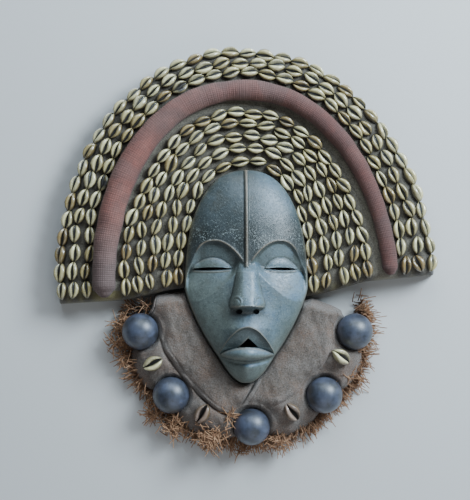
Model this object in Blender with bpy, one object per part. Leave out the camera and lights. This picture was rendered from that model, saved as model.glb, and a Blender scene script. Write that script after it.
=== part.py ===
"""Carved wooden face mask with a cowrie-covered fan headdress and a padded collar, lying on its back.

Metres. X runs to the right as one looks at the face, Y towards the crown, Z out of the face.
The origin is the middle of the footprint, on the surface that the flat back rests on.
"""

import math
import random

import bmesh
import bpy
import numpy as np
from mathutils import Vector

# Carved face: an egg-shaped outline, measured up from the tip of the chin
FACE_LENGTH = 0.234
FACE_WIDTH = 0.135
FACE_X = -0.0015
CHIN_Y = -0.1475
WIDEST = 0.446
CROWN_POWER = 2.35
JAW_POWER = 1.28
JAW_ROUND = 0.74
CHIN_SHARE = 0.122
CHIN_HALF = 0.446
CHIN_ROUND = 0.52
FACE_EDGE = 0.036
DOME_RISE = 0.027
FACE_WALL = 0.010
FACE_FRONT_WALL = 0.013
HOLLOW_COLUMNS = 6
HOLLOW_ROWS = 10
FACE_COLUMNS = 20
FACE_ROWS = 38
FACE_ROW_PLACES = ((0.0, 0.0), (0.08, 0.06), (0.42, 0.28), (0.84, 0.70), (1.0, 1.0))

# Features of the face: heights are above the chin, sideways places are from the middle line
EYE_Y = 0.125
EYE_X = 0.0385
EYE_HALF = 0.0175
EYE_SLIT = 0.003
LID_RISE = 0.004
LID_TALL = 0.013
LID_HALF = 0.021
SOCKET_DEPTH = 0.0065
SOCKET_BLEND = 0.004
CHEEK_TOP = (0.0115, 0.1205)
CHEEK_LOW = (0.0535, 0.0895)
BROW_X = 0.036
BROW_Y = 0.127
BROW_RISE = 0.028
BROW_INNER = 0.035
BROW_OUTER = 0.027
BROW_REACH = 0.0195
BROW_WIDTH = 0.0024
BROW_HEIGHT = 0.0022
WELT_SINK = 0.004
RIDGE_HALF = 0.0036
RIDGE_RISE = 0.003
NOSE_ROOT = 0.126
NOSE_BASE = 0.083
NOSE_TOP_HALF = 0.010
NOSE_BASE_HALF = 0.0192
NOSE_RISE = 0.020
NOSTRIL_X = 0.0087
NOSTRIL_Y = 0.0785
NOSTRIL_HALF = 0.0032
MOUTH_HALF = 0.0315
MOUTH_CORNER = 0.032
MOUTH_PEAK = 0.0605
LIP_TOP = 0.0396
LIP_LOW = 0.0255
LIP_RISE = 0.006
MOUTH_DEPTH = 0.010
MOUTH_HOLE_X = 0.002
MOUTH_HOLE_HALF = 0.0105
MOUTH_HOLE_TALL = 0.0098
MUZZLE_RISE = 0.011

# Fan headdress: half an ellipse round the face, tilted a little to the left
FAN_X = 0.0015
FAN_Y = -0.0466
FAN_TILT = math.radians(4.5)
FAN_HALF_WIDTH = 0.2085
FAN_HEIGHT = 0.2695
FAN_POWER = 2.08
FAN_THICKNESS = 0.027
FAN_SWELL = 0.003
FAN_EDGE_ROUND = 0.014
FAN_FOOT_ROUND = 0.008
FOOT_DROP_RIGHT = math.radians(9.0)
FOOT_LIFT_LEFT = math.radians(8.0)
FOOT_BEND = 0.5
FOOT_RAISE = math.radians(0.9)
FAN_CLEARANCE = 0.0008
FAN_STEPS = 28

# Shell strands: how far out each lies between face and rim, on the right, over the crown and on the left
STRAND_PLACES = (
    (0.978, 0.980, 0.980),
    (0.872, 0.900, 0.885),
    (0.755, 0.803, 0.775),
    (0.463, 0.468, 0.466),
    (0.367, 0.378, 0.369),
    (0.272, 0.281, 0.265),
    (0.158, 0.172, 0.148),
    (0.055, 0.068, 0.056),
)
SHELL_PITCH = 0.0200
SHELL_WIDTH = 0.0124
SHELL_HEIGHT = 0.0066
SHELL_WAIST = 0.38
SHELL_SHOULDER = 0.24
STRAND_END = 0.0035
STRAND_GAP = 0.0005
REST_GAP = 0.0005

# Red cloth roll, thicker at its left end
ROLL_PLACE = (0.640, 0.650, 0.630)
ROLL_RADIUS_RIGHT = 0.0102
ROLL_RADIUS_LEFT = 0.0138
ROLL_END = 0.005
ROLL_STEPS = 24
ROLL_SIDES = 6
ROLL_SINK = 0.5

# Padded collar, in polar places round its own centre
COLLAR_X = 0.0005
COLLAR_Y = -0.076
COLLAR_RADIUS = 0.1365
COLLAR_END_RADIUS = 0.106
COLLAR_START = (155.0, 166.0)
COLLAR_STOP = (381.5, 365.0)
COLLAR_TOP_GAP = 0.002
COLLAR_BLEND = 28.0
COLLAR_CLEARANCE = 0.0022
COLLAR_SEAM = 0.5
COLLAR_INNER_LEVEL = 0.017
COLLAR_SEAM_LEVEL = 0.021
COLLAR_OUTER_LEVEL = 0.008
COLLAR_ROLL_RISE = 0.014
COLLAR_LOBE_RISE = 0.013
COLLAR_STEPS = 26
COLLAR_COLUMNS = 6

# Wooden balls set in sockets in the collar, with shells sewn between them
BALL_RADIUS = 0.020
BALL_CIRCLE = 0.119
BALL_HEIGHT = 0.0245
BALL_ANGLES = (187.0, 225.0, 272.0, 315.0, 353.0)
SOCKET_CLEARANCE = 0.0004
COLLAR_SHELL_CIRCLE = 0.114
COLLAR_SHELL_ANGLES = (205.0, 245.0, 294.0, 336.0)
COLLAR_SHELL_LENGTH = 0.0215
COLLAR_SHELL_WIDTH = 0.0145
COLLAR_SHELL_HEIGHT = 0.0065
COLLAR_SHELL_LIFT = 0.0008

# Raffia fringe round the collar's outer edge
FRINGE_LONG = 0.0150
FRINGE_SHORT = 0.0085
FRINGE_LOW = 0.0005
FRINGE_HIGH = 0.0080
FRINGE_START = 176.0
FRINGE_STOP = 366.0
FRINGE_TEETH = 32
FRINGE_GAP = 0.0012
FRINGE_SEED = 7

WOOD = ("carved_wood", (0.060, 0.068, 0.072), 0.42)
SHELL = ("cowrie_shell", (0.62, 0.52, 0.32), 0.35)
RED_CLOTH = ("red_cloth", (0.20, 0.062, 0.052), 0.85)
FAN_CLOTH = ("fan_cloth", (0.13, 0.115, 0.085), 0.9)
COLLAR_CLOTH = ("collar_cloth", (0.135, 0.10, 0.078), 0.9)
BALL_WOOD = ("ball_wood", (0.026, 0.032, 0.047), 0.38)
RAFFIA = ("raffia", (0.26, 0.10, 0.045), 0.85)


def smooth_step(low, high, value):
    """0 below low, 1 above high, and an even slope between."""
    share = np.clip((value - low) / (high - low), 0.0, 1.0)
    return share * share * (3.0 - 2.0 * share)


def shoulder(distance, radius):
    """How far a rounded edge has dropped, at a distance in from the edge."""
    inward = np.clip(radius - distance, 0.0, radius)
    return radius - np.sqrt(radius * radius - inward * inward)


def half_width(share):
    """Half the face's width at a share of its length, from chin to crown."""
    above = np.clip((share - WIDEST) / (1.0 - WIDEST), 0.0, 1.0)
    below = np.clip((WIDEST - share) / WIDEST, 0.0, 1.0)
    crown = (1.0 - above**CROWN_POWER) ** (1.0 / CROWN_POWER)
    jaw = (1.0 - below**JAW_POWER) ** JAW_ROUND
    chin = CHIN_HALF * (np.clip(share, 0.0, 1.0) / CHIN_SHARE) ** CHIN_ROUND
    jaw = np.where(share < CHIN_SHARE, np.maximum(jaw, chin), jaw)
    return FACE_WIDTH / 2.0 * np.where(share > WIDEST, crown, jaw)


def dome(across, share):
    """Height of the plain domed face, where across is 0 in the middle and 1 at the outline."""
    sides = (1.0 - np.clip(np.abs(across), 0.0, 1.0) ** 1.7) ** 0.62
    ends = (1.0 - np.abs(2.0 * share - 1.0) ** 2.6) ** 0.5
    return FACE_EDGE + DOME_RISE * sides * ends


def brow_line(x):
    """Height above the chin of the arched brow, at a distance from the middle."""
    inner = np.clip((BROW_X - x) / BROW_INNER, 0.0, 1.0) ** 2.0
    outer = np.clip((x - BROW_X) / BROW_OUTER, 0.0, 1.0) ** 2.6
    return BROW_Y + BROW_RISE * (1.0 - np.where(x < BROW_X, inner, outer))


def eye_relief(x, y):
    """Socket below the brow, sloping cheek plane and bulging upper lid, as a change of height."""
    (top_x, top_y), (low_x, low_y) = CHEEK_TOP, CHEEK_LOW
    cheek = low_y + (top_y - low_y) * (1.0 - np.clip((x - top_x) / (low_x - top_x), 0.0, 1.0)) ** 2.2
    depth = np.clip((y - cheek) / (EYE_Y - cheek + 0.002), 0.0, 1.0)
    under_brow = 1.0 - smooth_step(-SOCKET_BLEND, SOCKET_BLEND, y - brow_line(x))
    beside_nose = smooth_step(0.008, 0.016, x)
    lid_line = EYE_Y + LID_TALL * np.sqrt(np.clip(1.0 - ((x - EYE_X) / LID_HALF) ** 2, 0.0, 1.0))
    lid = np.clip(1.0 - (y - EYE_Y) / np.maximum(lid_line - EYE_Y, 1e-6), 0.0, 1.0) * (y > EYE_Y)
    return (LID_RISE * lid - SOCKET_DEPTH * depth * under_brow) * beside_nose


def nose_relief(x, y):
    """A roof-like nose that widens and rises from its root to its base."""
    along = np.clip((NOSE_ROOT - y) / (NOSE_ROOT - NOSE_BASE), 0.0, 1.0)
    half = NOSE_TOP_HALF + (NOSE_BASE_HALF - NOSE_TOP_HALF) * along**1.15
    body = np.clip(1.0 - (x / half) ** 2.2, 0.0, 1.0) ** 0.8
    start = smooth_step(NOSE_ROOT + 0.004, NOSE_ROOT - 0.004, y)
    under = smooth_step(NOSE_BASE - 0.007, NOSE_BASE, y)
    return NOSE_RISE * (0.18 + 0.82 * along) * body * start * under


def mouth_relief(x, y):
    """Jutting mouth with an arched upper lip, a hollow under it and a full lower lip."""
    side = np.clip(x / MOUTH_HALF, 0.0, 1.0)
    arch = MOUTH_CORNER + (MOUTH_PEAK - MOUTH_CORNER) * (1.0 - side**1.9)
    lip_top = MOUTH_CORNER + (LIP_TOP - MOUTH_CORNER) * (1.0 - side**2)
    lip_low = MOUTH_CORNER + (LIP_LOW - MOUTH_CORNER) * (1.0 - side**2)
    muzzle = MUZZLE_RISE * np.exp(-((x / 0.025) ** 2) - ((y - 0.040) / 0.026) ** 2)
    open_tall = np.maximum(arch - lip_top, 1e-6)
    down = np.clip((arch - y) / open_tall, 0.0, 1.0) * (y > lip_top) * (x < MOUTH_HALF)
    hollow = MOUTH_DEPTH * down**0.8 * np.clip(open_tall / (MOUTH_PEAK - LIP_TOP), 0.0, 1.0)
    middle = (lip_top + lip_low) / 2.0
    half = np.maximum((lip_top - lip_low) / 2.0, 1e-6)
    lip = LIP_RISE * np.sqrt(np.clip(1.0 - ((y - middle) / half) ** 2, 0.0, 1.0)) * (x < MOUTH_HALF)
    return muzzle - hollow + lip


def face_height(x, y):
    """Height of the carved front, at x from the middle line and y above the chin."""
    share = y / FACE_LENGTH
    side = np.abs(x)
    plain = dome(side / np.maximum(half_width(share), 1e-6), share)
    return plain + eye_relief(side, y) + nose_relief(side, y) + mouth_relief(side, y)


def face_point(across, share):
    """Point of the carved front for shares across (-1 to 1) and along (0 to 1)."""
    x = across * float(half_width(share))
    y = share * FACE_LENGTH
    return Vector((FACE_X + x, CHIN_Y + y, float(face_height(x, y))))


def beyond_face(centre_x, centre_y, heading):
    """Distance from a centre inside the face to its outline, in one direction."""
    near, far = 0.0, FACE_LENGTH
    for _ in range(30):
        middle = (near + far) / 2.0
        x = centre_x + heading.x * middle - FACE_X
        share = (centre_y + heading.y * middle - CHIN_Y) / FACE_LENGTH
        inside = 0.0 < share < 1.0 and abs(x) < float(half_width(share))
        near, far = (middle, far) if inside else (near, middle)
    return far


def fan_heading(turn):
    """Direction in the fan's own tilted frame: 0 at its right foot, pi at its left one."""
    return Vector((math.cos(turn + FAN_TILT), math.sin(turn + FAN_TILT)))


def fan_inner(turn):
    """Radius of the fan's inner edge, just outside the face."""
    return beyond_face(FAN_X, FAN_Y, fan_heading(turn)) + FAN_CLEARANCE


def fan_outer(turn):
    """Radius of the fan's outer edge, a slightly full half ellipse."""
    side = abs(math.cos(turn)) / FAN_HALF_WIDTH
    up = abs(math.sin(turn)) / FAN_HEIGHT
    return (side**FAN_POWER + up**FAN_POWER) ** (-1.0 / FAN_POWER)


def fan_feet(out):
    """First and last direction of the fan at a share of the way out: its feet bend near the face."""
    bend = max(1.0 - out / FOOT_BEND, 0.0) ** 1.5
    raised = FOOT_RAISE * (1.0 - bend)
    return raised - FOOT_DROP_RIGHT * bend, math.pi - raised - FOOT_LIFT_LEFT * bend


def fan_point(turn, out):
    """Point of the fan's front, at a direction and a share of the way from face to rim."""
    near, far = fan_inner(turn), fan_outer(turn)
    radius = near + (far - near) * out
    flat = fan_heading(turn) * radius
    first, last = fan_feet(out)
    to_foot = radius * math.sin(min(turn - first, last - turn, math.pi / 2.0))
    height = FAN_THICKNESS + FAN_SWELL * (1.0 - (2.0 * out - 1.0) ** 2)
    height -= float(shoulder(far - radius, FAN_EDGE_ROUND))
    height -= float(shoulder(to_foot, FAN_FOOT_ROUND))
    return Vector((FAN_X + flat.x, FAN_Y + flat.y, height))


def row_share(place, turn):
    """Share from face to rim of a row, at one direction."""
    right, crown, left = place
    side = right if math.cos(turn) > 0.0 else left
    return side + (crown - side) * math.sin(turn) ** 2


def row_turns(place, steps):
    """Directions from a row's right foot to its left one."""
    first, last = fan_feet(place[0])[0], fan_feet(place[2])[1]
    return [first + (last - first) * k / steps for k in range(steps + 1)]


def fan_frame(turn, place):
    """Point, sideways vector and outward normal of a row on the fan's front."""
    step = 0.004
    out = row_share(place, turn)
    before, after = turn - step, turn + step
    ahead = fan_point(after, row_share(place, after)) - fan_point(before, row_share(place, before))
    outward = fan_point(turn, min(out + step, 1.0)) - fan_point(turn, out - step)
    normal = outward.cross(ahead).normalized()
    if normal.z < 0.0:
        normal = -normal
    return fan_point(turn, out), ahead.cross(normal).normalized(), normal


def inner_radius(degrees):
    """From the collar's centre to just outside the face's outline, in one direction."""
    heading = Vector((math.cos(math.radians(degrees)), math.sin(math.radians(degrees))))
    return beyond_face(COLLAR_X, COLLAR_Y, heading) + COLLAR_CLEARANCE


def outer_radius(degrees):
    """The collar's outer edge: narrower at its two upper ends."""
    from_end = min(degrees - COLLAR_START[1], COLLAR_STOP[1] - degrees)
    grown = float(smooth_step(0.0, COLLAR_BLEND, from_end))
    return COLLAR_END_RADIUS + (COLLAR_RADIUS - COLLAR_END_RADIUS) * grown


def pillow(share):
    """Cross profile of a stuffed shape, 0 at both seams and 1 in the middle."""
    return (1.0 - abs(2.0 * share - 1.0) ** 2.5) ** 0.5


def collar_height(along, out):
    """Height of the collar's front: a roll beside the face, a sewn seam, then the lobes."""
    if out < COLLAR_SEAM:
        share = out / COLLAR_SEAM
        level = COLLAR_INNER_LEVEL + (COLLAR_SEAM_LEVEL - COLLAR_INNER_LEVEL) * share
        rise = COLLAR_ROLL_RISE * pillow(share)
    else:
        share = (out - COLLAR_SEAM) / (1.0 - COLLAR_SEAM)
        level = COLLAR_SEAM_LEVEL + (COLLAR_OUTER_LEVEL - COLLAR_SEAM_LEVEL) * share**2
        rise = COLLAR_LOBE_RISE * pillow(share)
    ends = float(smooth_step(0.0, 0.05, min(along, 1.0 - along)))
    return level * (0.6 + 0.4 * ends) + rise * ends


def around_collar(radius, degrees, height):
    """Point at a radius and direction round the collar's centre."""
    turn = math.radians(degrees)
    return Vector((COLLAR_X + radius * math.cos(turn), COLLAR_Y + radius * math.sin(turn), height))


def under_fan(point):
    """Whether a place beyond the face is covered by the fan or is nearer to its foot than the gap."""
    away = point - Vector((FAN_X, FAN_Y))
    turn = math.atan2(away.y, away.x) - FAN_TILT
    turn += 2.0 * math.pi if turn < -math.pi / 2.0 else 0.0
    near, far = fan_inner(turn), fan_outer(turn)
    first, last = fan_feet((away.length - near) / (far - near))
    margin = COLLAR_TOP_GAP / away.length
    return first - margin < turn < last + margin


def clear_of_fan(radius, degrees, step):
    """The nearest direction, in steps from one round the collar's centre, that clears the fan."""
    while under_fan(around_collar(radius, degrees, 0.0).xy):
        degrees += step
    return degrees


def collar_span(out):
    """First and last direction of the collar, at a share of the way out from the face."""
    start = COLLAR_START[0] + (COLLAR_START[1] - COLLAR_START[0]) * out
    stop = COLLAR_STOP[0] + (COLLAR_STOP[1] - COLLAR_STOP[0]) * out
    near = inner_radius(start)
    radius = near + (COLLAR_END_RADIUS - near) * out
    return clear_of_fan(radius, start, 0.25), clear_of_fan(radius, stop, -0.25)


def collar_point(along, out):
    """Point of the collar's front: along from the left end round the chin, out from the face."""
    start, stop = collar_span(out)
    degrees = start + (stop - start) * along
    near, far = inner_radius(degrees), outer_radius(degrees)
    radius = near + (far - near) * out
    x = COLLAR_X + radius * math.cos(math.radians(degrees))
    y = COLLAR_Y + radius * math.sin(math.radians(degrees))
    return Vector((x, y, collar_height(along, out)))


def empty_scene():
    """Removes every object of the open scene."""
    for thing in list(bpy.data.objects):
        bpy.data.objects.remove(thing)


def new_collection(name):
    """A collection under the scene's own."""
    made = bpy.data.collections.new(name)
    bpy.context.scene.collection.children.link(made)
    return made


def finish_material(look):
    """Principled material from a name, a colour and a roughness."""
    name, colour, roughness = look
    made = bpy.data.materials.get(name)
    if made is None:
        made = bpy.data.materials.new(name)
        made.use_nodes = True
        shader = made.node_tree.nodes["Principled BSDF"]
        shader.inputs["Base Color"].default_value = (*colour, 1.0)
        shader.inputs["Roughness"].default_value = roughness
        shader.inputs["Metallic"].default_value = 0.0
    return made


def add_solid(name, bm, look, collection):
    """Links a finished bmesh as one named object."""
    bmesh.ops.recalc_face_normals(bm, faces=bm.faces)
    mesh = bpy.data.meshes.new(name)
    bm.to_mesh(mesh)
    bm.free()
    mesh.shade_smooth()
    mesh.set_sharp_from_angle(angle=math.radians(38.0))
    if look:
        mesh.materials.append(finish_material(look))
    made = bpy.data.objects.new(name, mesh)
    collection.objects.link(made)
    return made


def add_cutter(name, bm, collection):
    """A shape that cuts or joins another and isn't a piece itself."""
    made = add_solid(name, bm, None, collection)
    made.hide_render = True
    made.display_type = "WIRE"
    return made


def apply_boolean(target, tool, operation):
    """Adds a Boolean modifier with the exact solver."""
    made = target.modifiers.new(f"{operation.lower()} {tool.name}", "BOOLEAN")
    made.operation = operation
    made.object = tool
    made.solver = "EXACT"


def surface_grid(columns, rows, place):
    """A bmesh grid whose points are moved by place(column share, row share)."""
    bm = bmesh.new()
    bmesh.ops.create_grid(bm, x_segments=columns, y_segments=rows, size=0.5)
    for vert in bm.verts:
        vert.co = place(vert.co.x + 0.5, vert.co.y + 0.5)
    return bm


def close_down_to(bm, floor):
    """Makes an open front a solid: straight walls down to the floor, and one flat back there."""
    rim = [edge for edge in bm.edges if edge.is_boundary]
    made = bmesh.ops.extrude_edge_only(bm, edges=rim)["geom"]
    for part in made:
        if isinstance(part, bmesh.types.BMVert):
            part.co.z = floor
    low = [part for part in made if isinstance(part, bmesh.types.BMEdge) and part.is_boundary]
    bmesh.ops.edgeloop_fill(bm, edges=low)
    return bm


def loft(rings):
    """A closed solid through rings of points that all have the same count."""
    bm = bmesh.new()
    loops = [[bm.verts.new(point) for point in ring] for ring in rings]
    count = len(rings[0])
    for first, second in zip(loops, loops[1:]):
        for k in range(count):
            n = (k + 1) % count
            bm.faces.new((first[k], first[n], second[n], second[k]))
    bm.faces.new(loops[0])
    bm.faces.new(loops[-1])
    return bm


def ball_shape(centre, radius):
    """A round ball of few faces."""
    bm = bmesh.new()
    bmesh.ops.create_uvsphere(bm, u_segments=12, v_segments=6, radius=radius)
    bmesh.ops.translate(bm, verts=bm.verts, vec=centre)
    return bm


def face_solid(collection):
    """The carved front with straight sides down to the back plane."""

    def place(column, row):
        across = 2.0 * column - 1.0
        across = math.copysign(abs(across) ** 1.2, across)
        rows, shares = zip(*FACE_ROW_PLACES)
        share = float(np.interp(row, rows, shares))
        if share > shares[-2]:
            crown = (share - shares[-2]) / (1.0 - shares[-2])
            share = shares[-2] + (1.0 - shares[-2]) * math.sin(math.pi / 2.0 * crown)
        return face_point(across, 0.004 + 0.995 * share)

    bm = close_down_to(surface_grid(FACE_COLUMNS, FACE_ROWS, place), 0.0)
    return add_solid("mask_face", bm, WOOD, collection)


def hollow_cutter(collection):
    """The scooped-out back of the face, inside walls of even thickness."""
    below = -0.005

    def place(column, row):
        across = 2.0 * column - 1.0
        share = 0.01 + 0.98 * (0.5 - 0.5 * math.cos(math.pi * row))
        narrow = 1.0 - FACE_WALL / (FACE_WIDTH / 2.0)
        x = across * float(half_width(share)) * narrow
        y = FACE_WALL * 1.3 + share * (FACE_LENGTH - FACE_WALL * 2.3)
        height = float(dome(abs(across), share)) - FACE_FRONT_WALL
        return Vector((FACE_X + x, CHIN_Y + y, height))

    return add_cutter("face_hollow", close_down_to(surface_grid(HOLLOW_COLUMNS, HOLLOW_ROWS, place), below), collection)


def welt(route, half, rise, sunk):
    """A raised line carved along a route on the face, with a sharp crest."""
    rings = []
    for k, (x, y) in enumerate(route):
        ahead = Vector(route[min(k + 1, len(route) - 1)]) - Vector(route[max(k - 1, 0)])
        side = Vector((ahead.y, -ahead.x)).normalized() * half
        base = float(face_height(x, y))
        ring = []
        for across, up in ((-1.0, -sunk), (-1.0, 0.0), (0.0, rise), (1.0, 0.0), (1.0, -sunk)):
            ring.append((FACE_X + x + side.x * across, CHIN_Y + y + side.y * across, base + up))
        rings.append(ring)
    return loft(rings)


def brow_route(side):
    """Points of one brow arch, from the nose outwards."""
    inner, outer = BROW_X - BROW_INNER + 0.001, BROW_X + BROW_REACH
    steps = 12
    route = []
    for k in range(steps + 1):
        x = inner + (outer - inner) * (0.5 - 0.5 * math.cos(math.pi * k / steps))
        route.append((side * x, float(brow_line(np.float64(x)))))
    return route


def ridge_route():
    """Points of the welt down the middle of the forehead."""
    low, high = NOSE_ROOT - 0.002, FACE_LENGTH - 0.004
    steps = 10
    return [(0.0, low + (high - low) * k / steps) for k in range(steps + 1)]


def slit_cutter(name, side, collection):
    """A lens-shaped slot straight through the face at one eye."""
    steps = 6
    outline = []
    for k in range(2 * steps):
        turn = math.pi * k / steps
        outline.append((EYE_HALF * math.cos(turn), EYE_SLIT / 2.0 * math.sin(turn)))
    low, high = 0.020, 0.080
    rings = []
    for height in (low, high):
        rings.append([(FACE_X + side * EYE_X + x, CHIN_Y + EYE_Y + y, height) for x, y in outline])
    return add_cutter(name, loft(rings), collection)


def mouth_cutter(collection):
    """The three-sided mouth opening, straight through the face."""
    base = CHIN_Y + LIP_TOP
    corners = ((-MOUTH_HOLE_HALF, 0.0), (MOUTH_HOLE_HALF, 0.0), (0.0, MOUTH_HOLE_TALL))
    rings = []
    for height in (0.020, 0.090):
        rings.append([(FACE_X + MOUTH_HOLE_X + x, base + y, height) for x, y in corners])
    return add_cutter("mouth_hole", loft(rings), collection)


def nostril_cutter(name, side, collection):
    """A blind hole bored up into the nose from below."""
    bm = bmesh.new()
    bmesh.ops.create_cone(
        bm, cap_ends=True, segments=8, radius1=NOSTRIL_HALF, radius2=NOSTRIL_HALF, depth=0.016
    )
    for vert in bm.verts:
        vert.co = Vector((vert.co.x * 1.25, vert.co.y, vert.co.z))
    x, y = side * NOSTRIL_X, NOSTRIL_Y
    lift = float(face_height(x, y)) + 0.002
    bmesh.ops.translate(bm, verts=bm.verts, vec=(FACE_X + x, CHIN_Y + y, lift))
    return add_cutter(name, bm, collection)


def build_face(collection, cutters):
    """The carved face: welts joined on, hollow, slits, mouth and nostrils cut out."""
    face = face_solid(collection)
    ridge = add_cutter("ridge_welt", welt(ridge_route(), RIDGE_HALF, RIDGE_RISE, WELT_SINK), cutters)
    apply_boolean(face, ridge, "UNION")
    for side, word in ((-1.0, "left"), (1.0, "right")):
        brow = add_cutter(f"brow_{word}", welt(brow_route(side), BROW_WIDTH, BROW_HEIGHT, WELT_SINK), cutters)
        apply_boolean(face, brow, "UNION")
    apply_boolean(face, hollow_cutter(cutters), "DIFFERENCE")
    apply_boolean(face, mouth_cutter(cutters), "DIFFERENCE")
    for side, word in ((-1.0, "left"), (1.0, "right")):
        apply_boolean(face, slit_cutter(f"eye_{word}", side, cutters), "DIFFERENCE")
        apply_boolean(face, nostril_cutter(f"nostril_{word}", side, cutters), "DIFFERENCE")


def fan_insets():
    """Lines of the fan's front: shares over its flat part, then insets over the rounded rim."""
    turns = (0.0, 30.0, 60.0, 90.0)
    rim = [FAN_EDGE_ROUND * (1.0 - math.sin(math.radians(turn))) for turn in turns]
    return (0.0, 1.0 / 3.0, 2.0 / 3.0), rim


def build_fan(collection):
    """The cloth-covered fan with its rounded rim."""
    flat, rim = fan_insets()

    def place(column, row):
        band = fan_outer(math.pi * row) - fan_inner(math.pi * row)
        line = round(column * (len(flat) + len(rim) - 1))
        if line < len(flat):
            out = flat[line] * (1.0 - FAN_EDGE_ROUND / band)
        else:
            out = 1.0 - rim[line - len(flat)] / band
        first, last = fan_feet(out)
        return fan_point(first + (last - first) * row, out)

    bm = close_down_to(surface_grid(len(flat) + len(rim) - 1, FAN_STEPS, place), 0.0)
    add_solid("headdress_fan", bm, FAN_CLOTH, collection)


def row_route(place, trim):
    """Function from a length along one row of the fan to a direction, with the row's length."""
    turns = row_turns(place, 300)
    points = [fan_point(turn, row_share(place, turn)).xy for turn in turns]
    lengths = [0.0]
    for first, second in zip(points, points[1:]):
        lengths.append(lengths[-1] + (second - first).length)
    usable = lengths[-1] - 2.0 * trim
    return (lambda length: float(np.interp(trim + length, lengths, turns))), usable


def row_points(place):
    """Even set of points along one row, seen from the front."""
    turns = row_turns(place, 72)
    return np.array([tuple(fan_point(turn, row_share(place, turn)).xy) for turn in turns])


def shell_width(number):
    """Width of the shells of one strand, as far as the neighbouring strands leave room."""
    room = SHELL_WIDTH
    points = row_points(STRAND_PLACES[number])
    for other in (number - 1, number + 1):
        if 0 <= other < len(STRAND_PLACES):
            apart = points[:, None, :] - row_points(STRAND_PLACES[other])[None, :, :]
            room = min(room, float(np.linalg.norm(apart, axis=2).min()) - STRAND_GAP)
    return room


def strand_ring(turn, place, half, height):
    """Three points of a shell strand's cross-section, resting on the fan."""
    point, side, normal = fan_frame(turn, place)
    low = point + normal * REST_GAP
    return [low - side * half, low + normal * height, low + side * half]


def build_strand(number, collection):
    """One strand of shells that touch tip to tip, along one row of the fan."""
    place = STRAND_PLACES[number]
    to_turn, length = row_route(place, STRAND_END)
    count = max(round(length / SHELL_PITCH), 1)
    pitch = length / count
    half = shell_width(number) / 2.0
    waist, waist_height = half * SHELL_WAIST, SHELL_HEIGHT * SHELL_WAIST
    rings = []
    for k in range(count):
        rings.append(strand_ring(to_turn(k * pitch), place, waist, waist_height))
        for shift in (SHELL_SHOULDER, 1.0 - SHELL_SHOULDER):
            rings.append(strand_ring(to_turn((k + shift) * pitch), place, half, SHELL_HEIGHT))
    rings.append(strand_ring(to_turn(length), place, waist, waist_height))
    add_solid(f"cowrie_strand_{number + 1}", loft(rings), SHELL, collection)


def build_roll(collection):
    """The red cloth roll, round on top and flat where it is sewn down."""
    to_turn, length = row_route(ROLL_PLACE, ROLL_END)
    ends = {0: 0.45, 1: 0.85, ROLL_STEPS - 1: 0.85, ROLL_STEPS: 0.45}
    rings = []
    for k in range(ROLL_STEPS + 1):
        share = k / ROLL_STEPS
        if k in (1, ROLL_STEPS - 1):
            share = 0.012 if k == 1 else 0.988
        point, side, normal = fan_frame(to_turn(share * length), ROLL_PLACE)
        radius = ROLL_RADIUS_RIGHT + (ROLL_RADIUS_LEFT - ROLL_RADIUS_RIGHT) * share
        radius *= ends.get(k, 1.0)
        low = -math.asin(ROLL_SINK)
        ring = []
        for n in range(ROLL_SIDES):
            around = low + (math.pi - 2.0 * low) * n / (ROLL_SIDES - 1)
            up = REST_GAP + radius * (ROLL_SINK + math.sin(around))
            ring.append(point + side * radius * math.cos(around) + normal * up)
        rings.append(ring)
    add_solid("headdress_roll", loft(rings), RED_CLOTH, collection)


def build_collar(collection, sockets):
    """The padded collar with a round socket for each ball."""
    bm = surface_grid(COLLAR_COLUMNS, COLLAR_STEPS, lambda column, row: collar_point(row, column))
    collar = add_solid("collar", close_down_to(bm, 0.0), COLLAR_CLOTH, collection)
    for socket in sockets:
        apply_boolean(collar, socket, "DIFFERENCE")


def build_balls(collection, cutters):
    """Five wooden balls, and the cutters of their sockets."""
    sockets = []
    for number, degrees in enumerate(BALL_ANGLES, 1):
        centre = around_collar(BALL_CIRCLE, degrees, BALL_HEIGHT)
        add_solid(f"ball_{number}", ball_shape(centre, BALL_RADIUS), BALL_WOOD, collection)
        room = ball_shape(centre, BALL_RADIUS + SOCKET_CLEARANCE)
        sockets.append(add_cutter(f"ball_socket_{number}", room, cutters))
    return sockets


def collar_share(radius, degrees):
    """Shares along and out on the collar of a place given by radius and direction."""
    near, far = inner_radius(degrees), outer_radius(degrees)
    out = (radius - near) / (far - near)
    start, stop = collar_span(out)
    return (degrees - start) / (stop - start), out


def build_collar_shell(number, degrees, collection):
    """One shell sewn on a lobe of the collar, with its long way pointing at the centre."""
    along, out = collar_share(COLLAR_SHELL_CIRCLE, degrees)
    step = 0.02
    outward = collar_point(along, out + step) - collar_point(along, out - step)
    sideways = collar_point(along + step, out) - collar_point(along - step, out)
    normal = outward.cross(sideways).normalized()
    normal = normal if normal.z > 0.0 else -normal
    outward.normalize()
    sideways = normal.cross(outward)
    base = collar_point(along, out) + normal * COLLAR_SHELL_LIFT
    rings = []
    for share, size in ((-1.0, 0.3), (-0.7, 0.75), (0.0, 1.0), (0.7, 0.75), (1.0, 0.3)):
        middle = base + outward * share * COLLAR_SHELL_LENGTH / 2.0
        ring = []
        for turn in (0.0, 45.0, 90.0, 135.0, 180.0):
            across = math.cos(math.radians(turn)) * size * COLLAR_SHELL_WIDTH / 2.0
            up = math.sin(math.radians(turn)) * size * COLLAR_SHELL_HEIGHT
            ring.append(middle + sideways * across + normal * up)
        rings.append(ring)
    add_solid(f"collar_cowrie_{number}", loft(rings), SHELL, collection)


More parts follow.
